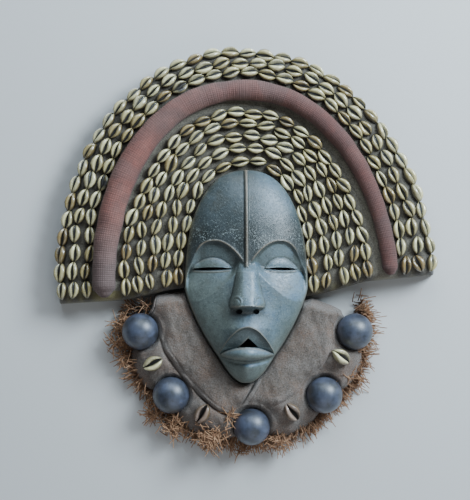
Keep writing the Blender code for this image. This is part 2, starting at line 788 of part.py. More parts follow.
def build_fringe(collection, sockets):
    """The raffia fringe as one ragged band outside the collar's edge."""
    ragged = random.Random(FRINGE_SEED)
    rings = []
    for k in range(FRINGE_TEETH + 1):
        degrees = FRINGE_START + (FRINGE_STOP - FRINGE_START) * k / FRINGE_TEETH
        near = outer_radius(degrees) + FRINGE_GAP
        long = FRINGE_LONG if k % 2 else FRINGE_SHORT
        far = max(near, COLLAR_RADIUS) + long * ragged.uniform(0.8, 1.0)
        corners = ((near, FRINGE_LOW), (near, FRINGE_HIGH), (far, FRINGE_HIGH / 2.0), (far, FRINGE_LOW))
        rings.append([around_collar(radius, degrees, height) for radius, height in corners])
    fringe = add_solid("raffia_fringe", loft(rings), RAFFIA, collection)
    for socket in sockets:
        apply_boolean(fringe, socket, "DIFFERENCE")


def main():
    """Builds every piece of the mask."""
    empty_scene()
    pieces = new_collection("dan_mask")
    cutters = new_collection("cutters")
    build_face(pieces, cutters)
    build_fan(pieces)
    for number in range(len(STRAND_PLACES)):
        build_strand(number, pieces)
    build_roll(pieces)
    sockets = build_balls(pieces, cutters)
    build_collar(pieces, sockets)
    for number, degrees in enumerate(COLLAR_SHELL_ANGLES, 1):
        build_collar_shell(number, degrees, pieces)
    build_fringe(pieces, sockets)


main()
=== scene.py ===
"""Looks of a carved face mask with a cowrie fan headdress and a padded collar, lying on its back.

Every piece lies where its CAD solid lies, in metres: X to the right as one looks at the face,
Y towards the crown and Z out of the face.
"""

import logging
import math
from collections.abc import Sequence
from dataclasses import dataclass
from enum import Enum
from functools import lru_cache

import bmesh
import bpy
import numpy as np
from mathutils import Matrix, Vector


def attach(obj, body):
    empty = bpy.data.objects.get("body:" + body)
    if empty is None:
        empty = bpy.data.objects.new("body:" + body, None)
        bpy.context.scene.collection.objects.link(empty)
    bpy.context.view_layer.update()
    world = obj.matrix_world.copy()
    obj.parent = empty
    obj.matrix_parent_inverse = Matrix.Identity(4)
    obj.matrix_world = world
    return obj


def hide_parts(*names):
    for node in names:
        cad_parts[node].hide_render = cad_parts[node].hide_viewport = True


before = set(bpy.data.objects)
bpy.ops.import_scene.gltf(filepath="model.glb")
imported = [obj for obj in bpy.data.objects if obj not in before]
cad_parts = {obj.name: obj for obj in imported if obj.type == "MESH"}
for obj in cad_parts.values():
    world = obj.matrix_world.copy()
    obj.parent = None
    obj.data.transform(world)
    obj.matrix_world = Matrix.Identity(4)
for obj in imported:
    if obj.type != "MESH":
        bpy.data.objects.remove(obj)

log = logging.getLogger("mask")
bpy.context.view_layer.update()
Array = np.ndarray
Mesh = bpy.types.Mesh
Material = bpy.types.Material
Socket = bpy.types.NodeSocket
BMesh = bmesh.types.BMesh
BMEdge = bmesh.types.BMEdge
# How far out a row lies, as shares from the face to the rim: on the right, over the crown, on the left.
ROLL_PLACE = (0.640, 0.650, 0.630)
# The rows of shells from the rim inwards: place, pitch in metres, and width of a shell as a share of the usual.
STRANDS = (
    ((0.968, 0.966, 0.968), 0.0199, 0.96),
    ((0.868, 0.888, 0.876), 0.0207, 1.06),
    ((0.755, 0.800, 0.772), 0.0201, 0.94),
    ((0.463, 0.468, 0.466), 0.0190, 0.92),
    ((0.367, 0.378, 0.369), 0.0199, 0.90),
    ((0.262, 0.281, 0.262), 0.0204, 0.92),
    ((0.147, 0.172, 0.142), 0.0199, 0.91),
    ((0.036, 0.064, 0.044), 0.0194, 0.90),
)
# X and Y of the two broken shells, and the row that they are in.
BROKEN_SHELLS = ((-0.0776, 0.1727), (-0.161, 0.077))
BROKEN_ROW = 3
# How many rows lie outside the roll.
OUTER_ROWS = 3


class Slot(Enum):
    """Material slots of the record."""

    WOOD = "carved_wood"
    SHELL = "cowrie_shell"
    RED_CLOTH = "red_cloth"
    FAN_CLOTH = "fan_cloth"
    COLLAR_CLOTH = "collar_cloth"
    BALL = "ball_wood"
    RAFFIA = "raffia"


class ShellKind(Enum):
    """The two states that the sewn shells are in."""

    WHOLE = "whole"
    BROKEN = "broken"


def clamp(value: Array) -> Array:
    """Return values held between 0 and 1."""
    return np.clip(value, 0.0, 1.0)


def ramp(low: float, high: float, value: Array) -> Array:
    """Return 0 below low, 1 above high and a smooth slope between, or the other way round if low is higher."""
    share = clamp((value - low) / (high - low))
    return share * share * (3.0 - 2.0 * share)


def shoulder(distance: Array, radius: float) -> Array:
    """Return how far a rounded edge has dropped, at a distance in from the edge."""
    inward = np.clip(radius - distance, 0.0, radius)
    return radius - np.sqrt(radius * radius - inward * inward)


def bump_at(value: Array, middle: float | Array, width: float) -> Array:
    """Return a soft hump of height 1 round a middle value."""
    return np.exp(-(((value - middle) / width) ** 2))


def soft_min(first: Array, second: Array, width: float) -> Array:
    """Return the lower of two values, rounded where they cross."""
    share = clamp(0.5 + 0.5 * (second - first) / width)
    return second + (first - second) * share - width * share * (1.0 - share)


def unevenness(x: Array, y: Array, pitch: float, seed: int) -> Array:
    """Return smooth random waves between about -1 and 1.

    Args:
        x: First coordinate of the points.
        y: Second coordinate of the points.
        pitch: Rough distance between two crests.
        seed: Picks the pattern.

    Returns:
        One value for each point.
    """
    chance = np.random.default_rng(seed)
    total = np.zeros(np.shape(x))
    for _ in range(7):
        heading = chance.uniform(0.0, math.tau)
        wave = math.tau / (pitch * chance.uniform(0.7, 1.6))
        along = x * math.cos(heading) + y * math.sin(heading)
        total = total + np.sin(along * wave + chance.uniform(0.0, math.tau))
    return total / 3.5


def unit(vectors: Array) -> Array:
    """Return rows of vectors scaled to length 1."""
    return vectors / np.linalg.norm(vectors, axis=-1, keepdims=True)


def read_points(mesh: Mesh) -> Array:
    """Return a mesh's points as rows of x, y, z."""
    flat = np.empty(len(mesh.vertices) * 3)
    mesh.vertices.foreach_get("co", flat)
    return flat.reshape(-1, 3)


def write_points(mesh: Mesh, points: Array) -> None:
    """Move a mesh's points to rows of x, y, z."""
    mesh.vertices.foreach_set("co", np.ascontiguousarray(points).ravel())
    mesh.update()


def paint(mesh: Mesh, name: str, values: Array) -> None:
    """Store one number for each point under a name that materials can read."""
    layer = mesh.attributes.new(name, "FLOAT", "POINT")
    layer.data.foreach_set("value", np.ascontiguousarray(values, dtype=np.float32))


def finish_mesh(bm: BMesh, mesh: Mesh | str, outwards: bool = True) -> Mesh:
    """Write a bmesh to a mesh and free it.

    Args:
        bm: The shape.
        mesh: The mesh to write to, or the name of a new one.
        outwards: Whether the faces are turned to point outwards first.

    Returns:
        The written mesh.
    """
    if outwards:
        bmesh.ops.recalc_face_normals(bm, faces=bm.faces)
    if isinstance(mesh, str):
        mesh = bpy.data.meshes.new(mesh)
    bm.to_mesh(mesh)
    bm.free()
    return mesh


def grid_mesh(name: str, columns: int, rows: int) -> Mesh:
    """Return a flat grid whose x and y run from 0 to 1.

    Args:
        name: Name of the mesh.
        columns: Cells along x.
        rows: Cells along y.

    Returns:
        The new mesh, with a UV map named cloth.
    """
    bm = bmesh.new()
    bm.loops.layers.uv.new("cloth")
    bmesh.ops.create_grid(bm, x_segments=columns, y_segments=rows, size=0.5, calc_uvs=True)
    bmesh.ops.translate(bm, verts=bm.verts, vec=(0.5, 0.5, 0.0))
    return finish_mesh(bm, name, outwards=False)


def drop_edge(bm: BMesh, height: float) -> list[BMEdge]:
    """Extrude an open surface's edge straight down to a height.

    Args:
        bm: An open surface with one edge loop.
        height: Where the new loop lies.

    Returns:
        The edges of the new loop.
    """
    rim = [edge for edge in bm.edges if edge.is_boundary]
    made = bmesh.ops.extrude_edge_only(bm, edges=rim)["geom"]
    for part in made:
        if isinstance(part, bmesh.types.BMVert):
            part.co.z = height
    return [part for part in made if isinstance(part, BMEdge) and part.is_boundary]


def close_to_floor(mesh: Mesh) -> None:
    """Turn an open front into a solid with straight sides and a flat back on the floor."""
    bm = bmesh.new()
    bm.from_mesh(mesh)
    bmesh.ops.edgeloop_fill(bm, edges=drop_edge(bm, 0.0))
    finish_mesh(bm, mesh)


def new_object(name: str, data: bpy.types.ID | None) -> bpy.types.Object:
    """Return a new object in the scene."""
    made = bpy.data.objects.new(name, data)
    bpy.context.scene.collection.objects.link(made)
    return made


def place_piece(
    mesh: Mesh, slot: Slot, finishes: Sequence[Material], *nodes: str, fill: float = 0.0
) -> bpy.types.Object:
    """Link a mesh as a piece that rides on the mask and stands for its CAD nodes.

    Args:
        mesh: The mesh, in place, with the piece's name.
        slot: The record's material slot; not used.
        finishes: Its materials.
        *nodes: CAD nodes that the piece replaces.
        fill: How full a padded piece is, or 0 for any other; not used.

    Returns:
        The new object.
    """
    for finish in finishes:
        mesh.materials.append(finish)
    mesh.shade_smooth()
    piece = new_object(mesh.name, mesh)
    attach(piece, "root")
    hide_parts(*nodes)
    log.info("%s: %d faces", piece.name, len(mesh.polygons))
    return piece


class NodeSheet:
    """A node tree with short ways to add nodes and join them."""

    def __init__(self, tree: bpy.types.NodeTree) -> None:
        """Keep the tree that the nodes go into."""
        self.tree = tree

    def feed(self, socket: Socket, value: object) -> None:
        """Link an output to a socket, or set the socket to a plain value.

        Args:
            socket: The socket to feed.
            value: An output, a colour or a number.
        """
        if isinstance(value, Socket):
            self.tree.links.new(value, socket)
        elif isinstance(value, tuple) and len(value) == 3 and socket.type == "RGBA":
            socket.default_value = (*value, 1.0)
        else:
            socket.default_value = value

    def add(self, kind: str, inputs: dict | None = None, **settings: object) -> bpy.types.Node:
        """Add a node.

        Args:
            kind: Blender's name of the node's type.
            inputs: Values or outputs for its sockets, by socket name or number.
            **settings: Properties of the node.

        Returns:
            The new node.
        """
        node = self.tree.nodes.new(kind)
        for name, value in settings.items():
            setattr(node, name, value)
        for name, value in (inputs or {}).items():
            self.feed(node.inputs[name], value)
        return node

    def place(self) -> Socket:
        """Return the object coordinates."""
        return self.add("ShaderNodeTexCoord").outputs["Object"]

    def painted(self, name: str) -> Socket:
        """Return the number that the mesh stores under a name."""
        return self.add("ShaderNodeAttribute", attribute_name=name).outputs["Fac"]

    def stretched(self, vector: Socket, scale: tuple) -> Socket:
        """Return a vector scaled by its own factor along each axis."""
        return self.add("ShaderNodeMapping", {"Vector": vector, "Scale": scale}).outputs[0]

    def calc(self, operation: str, first: object, second: object = 0.0) -> Socket:
        """Return the result of one arithmetic operation."""
        return self.add("ShaderNodeMath", {0: first, 1: second}, operation=operation).outputs[0]

    def times(self, first: object, second: object) -> Socket:
        """Return two values multiplied."""
        return self.calc("MULTIPLY", first, second)

    def rescale(
        self, value: object, low: float, high: float, start: float = 0.0, stop: float = 1.0
    ) -> Socket:
        """Return a value mapped from low..high to start..stop, and clamped."""
        inputs = {"Value": value, "From Min": low, "From Max": high, "To Min": start, "To Max": stop}
        return self.add("ShaderNodeMapRange", inputs).outputs["Result"]

    def blend(self, share: object, first: object, second: object) -> Socket:
        """Return two colours mixed."""
        return self.add("ShaderNodeMix", {0: share, 6: first, 7: second}, data_type="RGBA").outputs[2]

    def layers(self, colour: object, *stains: tuple) -> object:
        """Lay stains on a colour, one after the other.

        Args:
            colour: The colour below.
            *stains: Mask, strength and tone of each stain.

        Returns:
            The stained colour.
        """
        for mask, strength, tone in stains:
            share = mask if strength == 1.0 else self.times(mask, strength)
            colour = self.blend(share, colour, tone)
        return colour

    def group(self, tree: bpy.types.NodeTree, inputs: dict, output: str) -> Socket:
        """Place an effect and return one of its outputs."""
        return self.add("ShaderNodeGroup", inputs, node_tree=tree).outputs[output]

    def relief(self, height: object, depth: float, strength: float, below: object = None) -> Socket:
        """Lay a relief on the surface.

        Args:
            height: The relief, from 0 to 1.
            depth: Its full height in metres.
            strength: How much of it shows.
            below: The normal that it is laid on, if any.

        Returns:
            The new normal.
        """
        inputs = {"Height": height, "Distance": depth, "Strength": strength}
        if below is not None:
            inputs["Normal"] = below
        return self.add("ShaderNodeBump", inputs).outputs["Normal"]


def new_effect(name: str, outputs: Sequence[str], **inputs: float) -> tuple[NodeSheet, dict, dict]:
    """Start a shader node group that reads a vector and some numbers.

    Args:
        name: Name of the effect.
        outputs: Labels of the outputs, which are numbers.
        **inputs: Default values of the numbers.

    Returns:
        The sheet, the input sockets by label and the output sockets by label.
    """
    tree = bpy.data.node_groups.new(name, "ShaderNodeTree")
    tree.interface.new_socket("Vector", in_out="INPUT", socket_type="NodeSocketVector")
    for label, default in inputs.items():
        socket = tree.interface.new_socket(label, in_out="INPUT", socket_type="NodeSocketFloat")
        socket.default_value = default
    for label in outputs:
        tree.interface.new_socket(label, in_out="OUTPUT", socket_type="NodeSocketFloat")
    sheet = NodeSheet(tree)
    start = sheet.add("NodeGroupInput")
    stop = sheet.add("NodeGroupOutput")
    return sheet, dict(start.outputs.items()), dict(stop.inputs.items())


class Effects:
    """Surface effects that more than one finish uses, each built once."""

    def __init__(self) -> None:
        """Build the effects."""
        self.mottle = self._mottle()
        self.weave = self._weave()
        self.felt = self._felt()
        self.grain = self._grain()

    @staticmethod
    def _mottle() -> bpy.types.NodeTree:
        """Build cloudy patches, between two levels of a noise.

        Returns:
            The node group.
        """
        sheet, start, stop = new_effect("mottle", ["Mask"], Scale=20.0, Low=0.4, High=0.6)
        noise = {"Vector": start["Vector"], "Scale": start["Scale"], "Detail": 7.0, "Roughness": 0.62}
        cloud = sheet.add("ShaderNodeTexNoise", noise).outputs["Fac"]
        levels = {"Value": cloud, "From Min": start["Low"], "From Max": start["High"]}
        sheet.feed(stop["Mask"], sheet.add("ShaderNodeMapRange", levels).outputs["Result"])
        return sheet.tree

    @staticmethod
    def _weave() -> bpy.types.NodeTree:
        """Build a coarse square net on a UV map in metres: its height, and the lines between its cells.

        Returns:
            The node group.
        """
        sheet, start, stop = new_effect("weave", ["Height", "Gap"], Pitch=0.002)
        parts = sheet.add("ShaderNodeSeparateXYZ", {0: start["Vector"]})
        waves = []
        for axis in ("X", "Y"):
            turn = sheet.calc("DIVIDE", sheet.times(parts.outputs[axis], math.pi), start["Pitch"])
            waves.append(sheet.calc("ABSOLUTE", sheet.calc("SINE", turn)))
        low = sheet.calc("MINIMUM", *waves)
        sheet.feed(stop["Height"], sheet.rescale(low, 0.0, 0.7))
        sheet.feed(stop["Gap"], sheet.rescale(low, 0.45, 0.0))
        return sheet.tree

    @staticmethod
    def _felt() -> bpy.types.NodeTree:
        """Build the short matted hair of worn felt as a height.

        Returns:
            The node group.
        """
        sheet, start, stop = new_effect("felt", ["Height"], Scale=900.0)
        total = None
        for scale in ((1.0, 0.22, 1.0), (0.22, 1.0, 1.0), (0.6, 0.6, 0.3)):
            stretch = sheet.stretched(start["Vector"], scale)
            noise = {"Vector": stretch, "Scale": start["Scale"], "Detail": 3.0, "Distortion": 1.2}
            hair = sheet.add("ShaderNodeTexNoise", noise).outputs["Fac"]
            total = hair if total is None else sheet.calc("ADD", total, hair)
        sheet.feed(stop["Height"], sheet.calc("DIVIDE", total, 3.0))
        return sheet.tree

    @staticmethod
    def _grain() -> bpy.types.NodeTree:
        """Build long wood fibres that run along Y.

        Returns:
            The node group.
        """
        sheet, start, stop = new_effect("grain", ["Mask"], Scale=300.0)
        stretch = sheet.stretched(start["Vector"], (1.0, 0.06, 1.0))
        noise = {"Vector": stretch, "Scale": start["Scale"], "Detail": 5.0, "Roughness": 0.6, "Distortion": 0.4}
        fibre = sheet.add("ShaderNodeTexNoise", noise).outputs["Fac"]
        sheet.feed(stop["Mask"], sheet.rescale(fibre, 0.3, 0.7))
        return sheet.tree


class Surface:
    """The sheet of one finish, with the shared effects laid out on the piece's own coordinates."""

    def __init__(self, sheet: NodeSheet, effects: Effects) -> None:
        """Keep the sheet and the effects, and read the coordinates once."""
        self.sheet = sheet
        self.effects = effects
        self.place = sheet.place()

    def mottle(self, scale: float, low: float, high: float) -> Socket:
        """Return cloudy patches of a scale, between two levels."""
        inputs = {"Vector": self.place, "Scale": scale, "Low": low, "High": high}
        return self.sheet.group(self.effects.mottle, inputs, "Mask")

    def felt(self, scale: float) -> Socket:
        """Return matted hair of a scale as a height."""
        return self.sheet.group(self.effects.felt, {"Vector": self.place, "Scale": scale}, "Height")

    def grain(self, scale: float) -> Socket:
        """Return long wood fibres of a scale."""
        return self.sheet.group(self.effects.grain, {"Vector": self.place, "Scale": scale}, "Mask")

    def weave(self, pitch: float) -> tuple[Socket, Socket]:
        """Return a coarse net on the cloth's UV map: its height, and the lines between its cells."""
        uv = self.sheet.add("ShaderNodeUVMap", uv_map="cloth").outputs["UV"]
        inputs = {"Vector": uv, "Pitch": pitch}
        height, gap = (self.sheet.group(self.effects.weave, inputs, label) for label in ("Height", "Gap"))
        return height, gap


@dataclass(frozen=True)
class Finish:
    """A finish: its name, its gloss and how it is put on a sheet of nodes."""

    name: str
    sheen: float = 0.0
    coat: float = 0.0
    coat_roughness: float = 0.2
    specular: float = 0.5
    sheen_roughness: float = 0.6

    def make(self, effects: Effects) -> Material:
        """Build the material.

        Args:
            effects: The shared surface effects.

        Returns:
            The finished material.
        """
        made = bpy.data.materials.new(self.name)
        made.use_nodes = True
        sheet = NodeSheet(made.node_tree)
        shader = made.node_tree.nodes["Principled BSDF"]
        colour, roughness, normal = self.surface(sheet, Surface(sheet, effects))
        looks = {
            "Sheen Weight": self.sheen,
            "Sheen Roughness": self.sheen_roughness,
            "Coat Weight": self.coat,
            "Coat Roughness": self.coat_roughness,
            "Specular IOR Level": self.specular,
            "Base Color": colour,
            "Roughness": roughness,
            "Normal": normal,
        }
        for label, value in looks.items():
            sheet.feed(shader.inputs[label], value)
        return made

    def surface(self, sheet: NodeSheet, on: Surface) -> tuple:
        """Lay out the surface.

        Args:
            sheet: The material's nodes.
            on: The shared effects.

        Returns:
            Colour, roughness and normal.
        """
        raise NotImplementedError


@dataclass(frozen=True)
class CarvedWoodFinish(Finish):
    """Blackened wood, half polished, with rubbed edges and grey dust in its hollows, with painted light and a
    painted sky reflection on the faces the light reaches, painted glints on the nose and painted shade in its
    hollows.
    """

    dark: tuple = (0.026, 0.034, 0.032)
    slate: tuple = (0.086, 0.118, 0.134)
    # Lighter tone laid where the face is painted lighter: partly paler wood, partly painted light.
    pale_and_lit: tuple = (0.180, 0.220, 0.200)
    # Bluish painted reflection of the sky on faces that look up.
    sky_reflection: tuple = (0.150, 0.272, 0.400)
    umber: tuple = (0.085, 0.072, 0.045)
    # Grey dust, which on the nose stands for painted glints.
    dust_glint_tone: tuple = (0.420, 0.490, 0.480)
    rubbed: tuple = (0.300, 0.240, 0.170)
    # Near-black painted shade.
    shade_tone: tuple = (0.012, 0.013, 0.011)

    def surface(self, sheet: NodeSheet, on: Surface) -> tuple:
        """Lay out the carved face.

        Args:
            sheet: The material's nodes.
            on: The shared effects.

        Returns:
            Colour, roughness and normal.
        """
        fibre, cloud, speck = on.grain(520.0), on.mottle(26.0, 0.36, 0.64), on.mottle(560.0, 0.52, 0.66)
        patch, stain = on.mottle(90.0, 0.42, 0.66), on.mottle(42.0, 0.50, 0.72)
        pit = on.mottle(330.0, 0.50, 0.66)
        # Painted light: the pale share lightens the lit parts of the face.
        light = sheet.times(sheet.painted("pale_and_lit"), sheet.rescale(cloud, 0.0, 1.0, 0.62, 0.95))
        # Painted sky reflection on faces that look up.
        sky_reflection = sheet.times(sheet.painted("sky"), sheet.rescale(patch, 0.0, 1.0, 0.50, 1.0))
        cloudy = sheet.times(speck, sheet.rescale(patch, 0.0, 0.7, 0.25, 1.0))
        # Dust on the forehead, and painted glints on the nose.
        dust_and_glints = sheet.times(sheet.painted("dust_and_glints"), cloudy)
        specks_and_glints = sheet.calc("MAXIMUM", sheet.times(speck, 0.12), sheet.times(dust_and_glints, 0.75))
        worn = sheet.times(sheet.painted("wear"), sheet.rescale(cloud, 0.0, 1.0, 0.45, 0.95))
        colour = sheet.layers(
            self.dark,
            (cloud, 0.75, self.slate),
            (light, 1.0, sheet.blend(sky_reflection, self.pale_and_lit, self.sky_reflection)),
            (fibre, 0.14, self.slate),
            (stain, 0.40, self.umber),
            (pit, 0.36, self.dark),
            (patch, 0.22, self.dark),
            # Painted shade in hollows, under the nose, on its left and above the brows.
            (sheet.painted("painted_shade"), 0.62, self.shade_tone),
            (specks_and_glints, 1.0, self.dust_glint_tone),
            (worn, 1.0, self.rubbed),
        )
        roughness = sheet.calc("ADD", sheet.rescale(cloud, 0.0, 1.0, 0.33, 0.46), sheet.times(specks_and_glints, 0.3))
        normal = sheet.relief(pit, 0.00030, 0.45, sheet.relief(fibre, 0.00005, 0.35))
        return colour, roughness, sheet.relief(speck, 0.00020, 0.6, normal)


@dataclass(frozen=True)
class ShellFinish(Finish):
    """Yellowed glossy shell with a painted shadow in its slit, painted shade on one lobe beside the slit,
    olive-brown flanks darkened by painted shade, and painted shade round its foot.
    """

    ivory: tuple = (0.98, 0.92, 0.54)
    yellow: tuple = (0.52, 0.42, 0.15)
    # Olive-brown, for the flanks: partly the shell's tone, partly painted shade.
    olive_shade: tuple = (0.092, 0.056, 0.018)
    # Painted shade on the lobe beside the slit.
    grey: tuple = (0.055, 0.040, 0.026)
    brown: tuple = (0.235, 0.130, 0.060)
    # Painted shade round the foot and between the teeth.
    foot_and_groove_shade: tuple = (0.022, 0.016, 0.011)
    # Painted shadow in the slit and in broken holes.
    opening_shadow: tuple = (0.006, 0.004, 0.003)

    teeth: float = 76.0

    def surface(self, sheet: NodeSheet, on: Surface) -> tuple:
        """Lay out the shells.

        Args:
            sheet: The material's nodes.
            on: The shared effects.

        Returns:
            Colour, roughness and normal.
        """
        uv = sheet.add("ShaderNodeUVMap", uv_map="shell").outputs["UV"]
        along = sheet.add("ShaderNodeSeparateXYZ", {0: uv}).outputs["Y"]
        tint, lip, foot, opening_shadow = (sheet.painted(name) for name in ("tint", "lip", "foot", "opening_shadow"))
        cloud, broad = on.mottle(120.0, 0.38, 0.62), on.mottle(60.0, 0.40, 0.62)
        # Painted shade on the flanks.
        flank_shade = sheet.times(sheet.painted("flank_shade"), sheet.rescale(broad, 0.0, 1.0, 0.72, 1.0))
        # Painted shade on one lobe beside the slit; the lip share marks it.
        shade = sheet.times(lip, sheet.rescale(broad, 0.0, 1.0, 0.35, 1.0))
        teeth = sheet.times(sheet.rescale(sheet.calc("SINE", sheet.times(along, self.teeth)), -0.2, 0.9), lip)
        colour = sheet.layers(
            self.ivory,
            (tint, 1.0, self.yellow),
            (cloud, 0.35, self.yellow),
            (sheet.rescale(tint, 0.70, 1.0, 0.0, 0.6), 1.0, self.brown),
            (flank_shade, 1.0, self.olive_shade),
            (shade, 1.0, self.grey),
            # Painted shade round the foot, where the shell meets the cloth.
            (foot, 1.0, self.foot_and_groove_shade),
            (teeth, 0.25, self.foot_and_groove_shade),
            # Painted shadow in the slit.
            (opening_shadow, 1.0, self.opening_shadow),
        )
        dull = sheet.calc("ADD", sheet.calc("ADD", foot, cloud), opening_shadow)
        return colour, sheet.rescale(dull, 0.0, 1.6, 0.20, 0.6), sheet.relief(teeth, 0.0003, 0.3)


@dataclass(frozen=True)
class RollFinish(Finish):
    """Faded red cloth of a coarse net weave, darker where it is soiled and with painted shade on its underside.
    """

    red: tuple = (0.260, 0.082, 0.062)
    faded: tuple = (0.360, 0.165, 0.130)
    # Dark tone for soil, and for painted shade on the roll's underside.
    soil_and_shade: tuple = (0.050, 0.024, 0.022)
    grey: tuple = (0.150, 0.118, 0.110)

    pitch: float = 0.0023

    def surface(self, sheet: NodeSheet, on: Surface) -> tuple:
        """Lay out the red roll.

        Args:
            sheet: The material's nodes.
            on: The shared effects.

        Returns:
            Colour, roughness and normal.
        """
        height, gap = on.weave(self.pitch)
        cloud, patch = on.mottle(18.0, 0.36, 0.64), on.mottle(45.0, 0.40, 0.66)
        fine = on.mottle(240.0, 0.35, 0.65)
        colour = sheet.layers(
            self.red,
            (cloud, 0.75, self.faded),
            (sheet.painted("soil"), 0.85, self.grey),
            (patch, 0.35, self.grey),
            (patch, 0.25, self.soil_and_shade),
            # Painted shade on the roll's underside, and darker towards its right end.
            (sheet.painted("low"), 1.0, self.soil_and_shade),
            (fine, 0.22, self.soil_and_shade),
            (gap, 0.68, self.soil_and_shade),
        )
        return colour, 0.86, sheet.relief(on.felt(1400.0), 0.0003, 0.5, sheet.relief(height, 0.0006, 0.55))


@dataclass(frozen=True)
class FeltFinish(Finish):
    """Matted dusty cloth with lighter rubbed patches and painted highlights, dark seams, painted shade and a
    second tone at its edge.
    """

    base: tuple = (0.205, 0.182, 0.132)
    light: tuple = (0.330, 0.300, 0.235)
    dark: tuple = (0.030, 0.023, 0.018)
    edge: tuple = (0.200, 0.170, 0.050)
    rust: tuple = (0.190, 0.105, 0.065)
    rusty: float = 0.0
    scale: float = 30.0

    def surface(self, sheet: NodeSheet, on: Surface) -> tuple:
        """Lay out the felted cloth.

        Args:
            sheet: The material's nodes.
            on: The shared effects.

        Returns:
            Colour, roughness and normal.
        """
        cloud, patch = on.mottle(self.scale, 0.4, 0.64), on.mottle(48.0, 0.44, 0.68)
        fleck, dot = on.mottle(480.0, 0.42, 0.66), on.mottle(820.0, 0.48, 0.62)
        felt = on.felt(1300.0)
        colour = sheet.layers(
            self.base,
            (cloud, 0.55, self.light),
            (patch, self.rusty, self.rust),
            # Lighter where rubbed; on the collar this also holds painted highlight on the highest crests and a
            # lower-left lobe.
            (sheet.painted("rubbed"), 1.0, self.light),
            (fleck, 0.50, self.light),
            (dot, 0.58, self.dark),
            (sheet.rescale(felt, 0.52, 0.34, 0.0, 0.5), 1.0, self.dark),
            (sheet.painted("second"), 1.0, self.edge),
            # Dark seams and stitches on the collar; painted shade under the fan's shells, beside its roll and
            # round the collar's balls.
            (sheet.painted("seam"), 0.85, self.dark),
        )
        return colour, 0.94, sheet.relief(fleck, 0.0005, 0.6, sheet.relief(felt, 0.0010, 0.8))


@dataclass(frozen=True)
class BallFinish(Finish):
    """Turned wood stained blue-black, with a waxed bloom and fine scuffs."""

    stain: tuple = (0.022, 0.026, 0.034)
    bloom: tuple = (0.105, 0.128, 0.205)
    scuff: tuple = (0.16, 0.14, 0.12)

    def surface(self, sheet: NodeSheet, on: Surface) -> tuple:
        """Lay out the balls.

        Args:
            sheet: The material's nodes.
            on: The shared effects.

        Returns:
            Colour, roughness and normal.
        """
        fibre, cloud, nick = on.grain(620.0), on.mottle(70.0, 0.38, 0.64), on.mottle(260.0, 0.64, 0.74)
        stains = ((cloud, 0.7, self.bloom), (fibre, 0.30, self.stain), (nick, 0.5, self.scuff))
        colour = sheet.layers(self.stain, *stains)
        normal = sheet.relief(nick, 0.0002, 0.5, sheet.relief(fibre, 0.00008, 0.5))
        return colour, sheet.rescale(cloud, 0.0, 1.0, 0.46, 0.56), normal


@dataclass(frozen=True)
class RaffiaFinish(Finish):
    """Dry plant fibre in one of a few shades, with painted shade near the collar."""

    colour: tuple = (0.26, 0.10, 0.045)
    tip: tuple = (0.42, 0.24, 0.12)
    # Painted shade for fibres near the collar and low down.
    root: tuple = (0.035, 0.016, 0.010)

    def surface(self, sheet: NodeSheet, on: Surface) -> tuple:
        """Lay out the fibres.

        Args:
            sheet: The material's nodes.
            on: The shared effects.

        Returns:
            Colour, roughness and normal.
        """
        shade = on.mottle(260.0, 0.35, 0.68)
        # The root share is painted shade on fibres near the collar and low down.
        colour = sheet.layers(self.colour, (shade, 1.0, self.tip), (sheet.painted("root"), 0.8, self.root))
        return colour, 0.66, sheet.relief(on.felt(2600.0), 0.0002, 0.5)


@dataclass(frozen=True)
class FaceOutline:
    """The egg-shaped outline of the carved face, measured up from the chin."""

    length: float = 0.234
    width: float = 0.135
    middle: float = -0.0015
    chin: float = -0.1475
    widest: float = 0.446
    crown_power: float = 2.35
    jaw_power: float = 1.28
    jaw_round: float = 0.74
    chin_share: float = 0.122
    chin_half: float = 0.446
    chin_round: float = 0.52

    def half_width(self, share: Array) -> Array:
        """Work out half the width.

        Args:
            share: Shares of the length, from chin to crown.

        Returns:
            One distance for each share.
        """
        above = clamp((share - self.widest) / (1.0 - self.widest))
        below = clamp((self.widest - share) / self.widest)
        crown = (1.0 - above**self.crown_power) ** (1.0 / self.crown_power)
        jaw = (1.0 - below**self.jaw_power) ** self.jaw_round
        chin = self.chin_half * (clamp(share) / self.chin_share) ** self.chin_round
        jaw = np.where(share < self.chin_share, np.maximum(jaw, chin), jaw)
        return self.width / 2.0 * np.where(share > self.widest, crown, jaw)

    def placed(self, x: Array, y: Array, z: Array) -> Array:
        """Return points that are measured from the middle line and the chin in the mask's frame."""
        return np.stack((x + self.middle, y + self.chin, z), axis=1)

    def reach(self, centre: tuple[float, float], turn: Array) -> Array:
        """Return the distance from a centre inside the face to its outline.

        Args:
            centre: X and Y of the centre.
            turn: Directions, in radians from +X.

        Returns:
            One distance for each direction.
        """
        near = np.zeros(np.shape(turn))
        far = np.full(np.shape(turn), self.length)
        for _ in range(24):
            middle = (near + far) / 2.0
            x = centre[0] + np.cos(turn) * middle - self.middle
            share = (centre[1] + np.sin(turn) * middle - self.chin) / self.length
            inside = (share > 0.0) & (share < 1.0) & (np.abs(x) < self.half_width(share))
            near = np.where(inside, middle, near)
            far = np.where(inside, far, middle)
        return far


@dataclass(frozen=True)
class Hole:
    """A tapered hole through the face, placed from the middle line, the chin and the back plane."""

    place: tuple
    radii: tuple
    depth: float
    flat: tuple
    sides: int = 24

    def cut(self, bm: BMesh, outline: FaceOutline) -> None:
        """Add the shape that cuts the hole.

        Args:
            bm: Where the shape goes.
            outline: The face's outline.
        """
        first, second = self.radii
        made = bmesh.ops.create_cone(
            bm, cap_ends=True, segments=self.sides, radius1=first, radius2=second, depth=self.depth
        )
        x, y, z = self.place
        place = Matrix.Translation((outline.middle + x, outline.chin + y, z))
        bmesh.ops.transform(bm, matrix=place @ Matrix.Diagonal((*self.flat, 1.0, 1.0)), verts=made["verts"])


